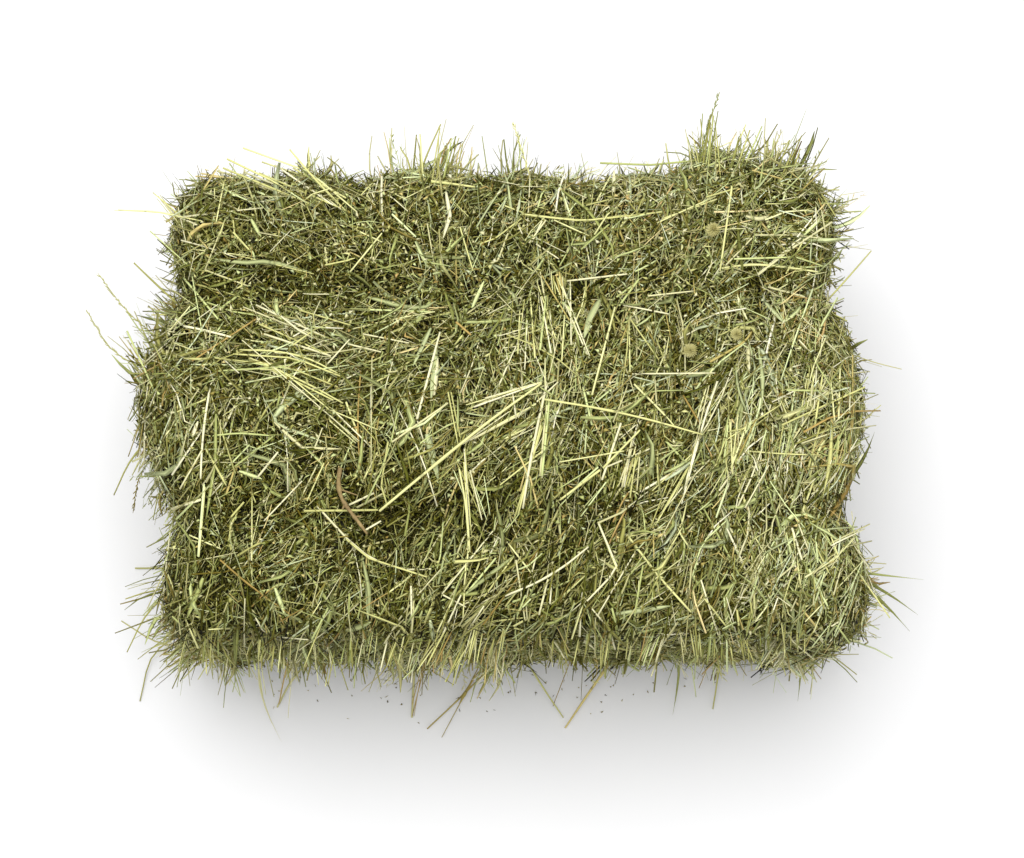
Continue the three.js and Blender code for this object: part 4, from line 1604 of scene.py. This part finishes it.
def drawn_straw(kind, points, rng, slim, play):
    """The strand of one named kind along points, with its tone and hue."""
    width, thickness, tone, hues = STRAW_KINDS[kind]
    size = rng.uniform(0.75, 1.15) * slim
    taper = [1.0] * (len(points) - 2) + [0.95, 0.8]
    flat = "leaf" in kind
    if flat:
        taper = [0.5, 0.85] + [1.0] * (len(points) - 4) + [0.75, 0.2]
    wide = [width * size * t * MM for t in taper]
    thick = [thickness * size * (1 if flat else t) * MM for t in taper]
    parts = strand(points, wide, thick, 4 if flat else 6, rng.uniform(-1.2, 1.2) if flat else 0.0)
    return parts, tone + rng.uniform(-play, play), rng.choice(hues)


def read_row(row):
    """Kind, count, spread and the numbers of a row such as 'straw*5,14 464,462 470,552'."""
    head, *groups = row.split()
    kind, _, bunch = head.partition("*")
    count, spread = bunch.split(",") if bunch else (1, 0)
    return kind, int(count), float(spread), [tuple(float(v) for v in group.split(",")) for group in groups]


# %% Draw the long straws and those over the rim
rng = random.Random(LONG_SEED)
laid = []
for row in LONG_STRAWS.strip().splitlines():
    kind, count, spread, places = read_row(row)
    for own_places in side_by_side(places, count, spread, rng):
        points = lay_straw(own_places, rng.uniform(*LIFT_MM) * MM)
        if points and own_places is places:
            laid.append(drawn_straw(kind, points, rng, 1.0, TONE_PLAY))
        elif points:
            laid.append(drawn_straw(kind, points, rng, rng.uniform(*BESIDE_SLIM), BESIDE_PLAY))
        else:
            print("off the bale:", row)
straw_mesh("long_straws", laid)
print("long straws", len(laid))

hung = []
for row in EDGE_STRAWS.strip().splitlines():
    kind, count, spread, (*places, (height,)) = read_row(row)
    for own_places in side_by_side(places, count, spread, rng):
        points = hang_straw(own_places, height)
        if points:
            parts, tone, hue = drawn_straw(kind, points, rng, rng.uniform(*EDGE_SLIM), EDGE_PLAY)
            # Straws over the rim are darker by painted shade
            hung.append((parts, tone - EDGE_PAINTED_SHADE, hue))
        else:
            print("off the bale:", row)
straw_mesh("edge_straws", hung)
print("edge straws", len(hung))

# %% [markdown]
# Clover heads. A dry head is a ball of narrow florets that stand up and out from a small middle. They
# replace the rough balls of the frame, at the same place and size.

# %% Clover heads
FLORETS = 90


def clover_head(node):
    low, high = (Vector(corner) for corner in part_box(node))
    middle, radius = (low + high) / 2, (high - low).length / 2 / math.sqrt(3)
    rng = random.Random(node)
    florets = []
    for k in range(FLORETS):
        height = 1 - 2 * (k + 0.5) / FLORETS
        angle = k * math.pi * (3 - math.sqrt(5))
        ring = math.sqrt(1 - height * height)
        way = Vector((ring * math.cos(angle), ring * math.sin(angle), height))
        foot = middle + way * radius * 0.25
        tip = middle + way * radius * rng.uniform(0.88, 1.0) + Vector((0, 0, radius * 0.08))
        bend = foot.lerp(tip, 0.55) + Vector((0, 0, -radius * 0.06))
        wide = radius * rng.uniform(0.16, 0.24)
        widths = [wide * 0.5, wide, wide * 0.3]
        florets.append(strand([foot, bend, tip], widths, [wide * 0.4, wide * 0.5, wide * 0.2]))
    corners, faces, _ = joined(florets)
    mesh = bpy.data.meshes.new(f"{node}_florets")
    mesh.from_pydata(corners, [], faces)
    mesh.materials.append(STALKS["clover"])
    head = link(mesh.name, mesh)
    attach(head, "root")
    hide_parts(node)


CLOVER_HEADS = ("clover_head_back", "clover_head_middle", "clover_head_right")
for node in CLOVER_HEADS:
    clover_head(node)
print("clover heads", len(CLOVER_HEADS), "florets on each", FLORETS)

# %% [markdown]
# The frame's loose stalks and blades. Each is a plain four-sided rod there. Its rings give the line that
# it runs along and its width. A rounder, streaked stalk with a joint, or a thin pointed blade, is drawn
# along that line and replaces the rod. Grass stalks with seeds get small husks along their outer half.

# %% Dress the loose stalks
# Tone and hue of the straws of each slot
STALK_LOOKS = {
    "stem": (0.76, "yellow"),
    "pale": (0.84, "plain"),
    "rust": (0.64, "rust"),
    "leaf": (0.64, "grey"),
}
# Nodes whose tone or hue differs from the rest of their slot
NODE_LOOKS = {
    "stalk_thick_yellow": (0.78, "yellow"),
    "stalk_back_tall": (0.5, "green"),
    "stalk_front_thick_1": (0.62, "ochre"),
    "stalk_front_thick_2": (0.56, "ochre"),
    "stalk_front_cross_1": (0.66, "yellow"),
    "stalk_front_cross_2": (0.74, "ochre"),
    "seed_stalk_left_hanging": (0.5, "ochre"),
    "leaf_front_left_curl": (0.78, "plain"),
    "leaf_front_right": (0.5, "green"),
    "stalk_front_right_drop": (0.52, "green"),
    "leaf_right_front_1": (0.5, "green"),
    "leaf_right_front_2": (0.6, "green"),
    "leaf_right_front_3": (0.5, "green"),
    "leaf_folded": (0.7, "grey"),
    "leaf_right_end": (0.7, "yellow"),
}
# Share of a node's own width that a dressed stalk takes
WIDTH_SHARE = {"stalk_front_thick_1": 0.7, "stalk_front_thick_2": 0.6, "leaf_front_left_curl": 0.8}
# Stalks on top rest on the coat, this far above the skin
COAT_MM = 3.0
# The long yellow stalk bridges the straws below it
RAISED_MM = {"stalk_thick_yellow": 8.5}
# Corners closer together than this along a rod belong to one ring
RING_GAP = 0.0035
TIP_STEPS = 10
DRESS_SEED = 23
# Above the first height a stalk lies on top; one that reaches below the second stands out and is given
# painted shade
ON_TOP, IN_SHADE = 0.34, 0.33
# Width of a blade from foot to tip
BLADE_OUTLINE = [0.6, 0.8, 0.95, 1.0, 1.05, 1.05, 1.0, 0.9, 0.7, 0.45, 0.15]
HUSKS = 34
# A stalk that stands out is darker by this tone: painted shade
STANDING_OUT_SHADE = 0.18


def rings_of(obj):
    """The middle and half width of each ring of corners along a rod."""
    corners = np.array([tuple(obj.matrix_world @ v.co) for v in obj.data.vertices])
    points = np.unique(corners.round(6), axis=0)
    axis = np.linalg.svd(points - points.mean(0))[2][0]
    along = (points - points.mean(0)) @ axis
    order = np.argsort(along)
    splits = np.where(np.diff(along[order]) > RING_GAP)[0] + 1
    groups = np.split(points[order], splits)
    middles = [Vector(group.mean(0)) for group in groups]
    widths = [float(np.linalg.norm(group - group.mean(0), axis=1).max()) for group in groups]
    return middles, widths


def smooth_line(points, steps):
    """Points along a smooth curve through a few points."""
    padded = [points[0] * 2 - points[1], *points, points[-1] * 2 - points[-2]]
    line = []
    for k in range(steps + 1):
        place = k / steps * (len(points) - 1)
        i = min(int(place), len(points) - 2)
        t = place - i
        a, b, c, d = padded[i : i + 4]
        curve = a * 2 - b * 5 + c * 4 - d
        turn = b * 3 - a - c * 3 + d
        line.append(0.5 * ((b * 2) + (c - a) * t + curve * t**2 + turn * t**3))
    return line


def husks(line, count, rng):
    """Small pointed seeds along the outer half of a stalk."""
    bits = []
    for k in range(count):
        place = (0.45 + 0.53 * k / count) * (len(line) - 1)
        i = min(int(place), len(line) - 2)
        foot = line[i].lerp(line[i + 1], place - i)
        along = (line[i + 1] - line[i]).normalized()
        out = Vector([rng.gauss(0, 1) for _ in range(3)])
        way = (along + 0.5 * (out - along * out.dot(along)).normalized()).normalized()
        tip = foot + way * rng.uniform(3.5, 6.5) * MM
        wide, thick = sizes(1, 0.5, 1.5, 0.2), sizes(1, 0.5, 1.2, 0.2)
        bits.append(strand([foot, foot.lerp(tip, 0.5), tip], wide, thick))
    return bits


def along_rings(values, steps):
    """Values of a few rings, read off at even steps."""
    return [float(np.interp(k / steps, np.linspace(0, 1, len(values)), values)) for k in range(steps + 1)]


def dressed(name, obj, rng):
    """The strands that stand for one loose node."""
    middles, widths = rings_of(obj)
    if widths[-1] > widths[0]:
        middles, widths = middles[::-1], widths[::-1]
    line = smooth_line(middles, TIP_STEPS)
    if min(point.z for point in line) > ON_TOP:
        line = [point + Vector((0, 0, RAISED_MM.get(name, COAT_MM) * MM)) for point in line]
    broad = [WIDTH_SHARE.get(name, 1.3) * width for width in along_rings(widths, TIP_STEPS)]
    if slots[name] == "leaf":
        wide = [b * share for b, share in zip(broad, BLADE_OUTLINE)]
        return [strand(line, wide, [0.9 * MM] * len(line), 4, rng.uniform(-0.8, 0.8))]
    # A joint: one ring in the middle is a little thicker
    broad[rng.choice((3, 4, 5, 6))] *= 1.25
    if name.startswith("seed_") or name == "stalk_back_tall":
        stalk = strand(line, [0.6 * b for b in broad], [0.55 * b for b in broad], 6)
        return [stalk, *husks(line, HUSKS, rng)]
    return [strand(line, broad, [0.85 * b for b in broad], 6)]


rng = random.Random(DRESS_SEED)
dressed_count = 0
for name, obj in nodes.items():
    if slots[name] not in STALK_LOOKS:
        continue
    bits = dressed(name, obj, rng)
    standing_out = min(corner.z for corner in bits[0][0]) < IN_SHADE
    tone, hue = STALK_LOOKS[slots[name]]
    if name in NODE_LOOKS:
        tone, hue = NODE_LOOKS[name]
    elif standing_out:
        # Painted shade on a stalk that stands out
        tone -= STANDING_OUT_SHADE
    straws = [(joined(bits), tone + rng.uniform(-0.04, 0.04), hue)]
    straw_mesh(f"{name}_dressed", straws, name)
    dressed_count += 1
print("dressed stalks and blades", dressed_count)

# %% [markdown]
# The twig is a bit of woody stem among the hay. Bark makes it uneven: it swells at the knots where side
# shoots grew, thins towards one end, and three broken side shoots are left, one of them long.

# %% The twig
TWIG_WIDTHS = [4.4, 5.0, 3.8, 4.6, 5.6, 4.0, 3.6, 4.9, 4.2, 3.2, 4.4, 3.4, 3.9, 3.0, 2.2]
# Place along the twig, side, length and width of each broken side shoot
TWIG_STUBS = [(4, 0.9, 20, 1.5), (7, -0.7, 6, 2.6), (10, 0.8, 7, 1.8)]
# Width of a side shoot at its root, middle and end
STUB_SHARES = (1.3, 1.0, 0.8)

middles, _ = rings_of(nodes["twig_bent"])
if middles[0].y < middles[-1].y:
    middles = middles[::-1]
line = [point + Vector((0, 0, COAT_MM * MM)) for point in smooth_line(middles, len(TWIG_WIDTHS) - 1)]
wide, thick = sizes(1, *TWIG_WIDTHS), sizes(1, *[0.9 * width for width in TWIG_WIDTHS])
bits = [strand(line, wide, thick, sides=9, twist=0.8)]
for place, side, long, wide in TWIG_STUBS:
    along = (line[place + 1] - line[place - 1]).normalized()
    way = (along * 0.5 + Vector((0, 0, 1)).cross(along) * side + Vector((0, 0, 0.15))).normalized()
    stub = [line[place], line[place] + way * 0.6 * long * MM, line[place] + way * long * MM]
    bits.append(strand(stub, sizes(wide, *STUB_SHARES), sizes(0.9 * wide, *STUB_SHARES), sides=7))
corners, faces, _ = joined(bits)
twig_mesh = bpy.data.meshes.new("twig_bark")
twig_mesh.from_pydata(corners, [], faces)
twig_mesh.polygons.foreach_set("use_smooth", [True] * len(twig_mesh.polygons))
twig_mesh.materials.append(STALKS["twig"])
twig = link("twig_bark", twig_mesh)
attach(twig, "root")
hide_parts("twig_bent")
print("twig corners", len(corners))
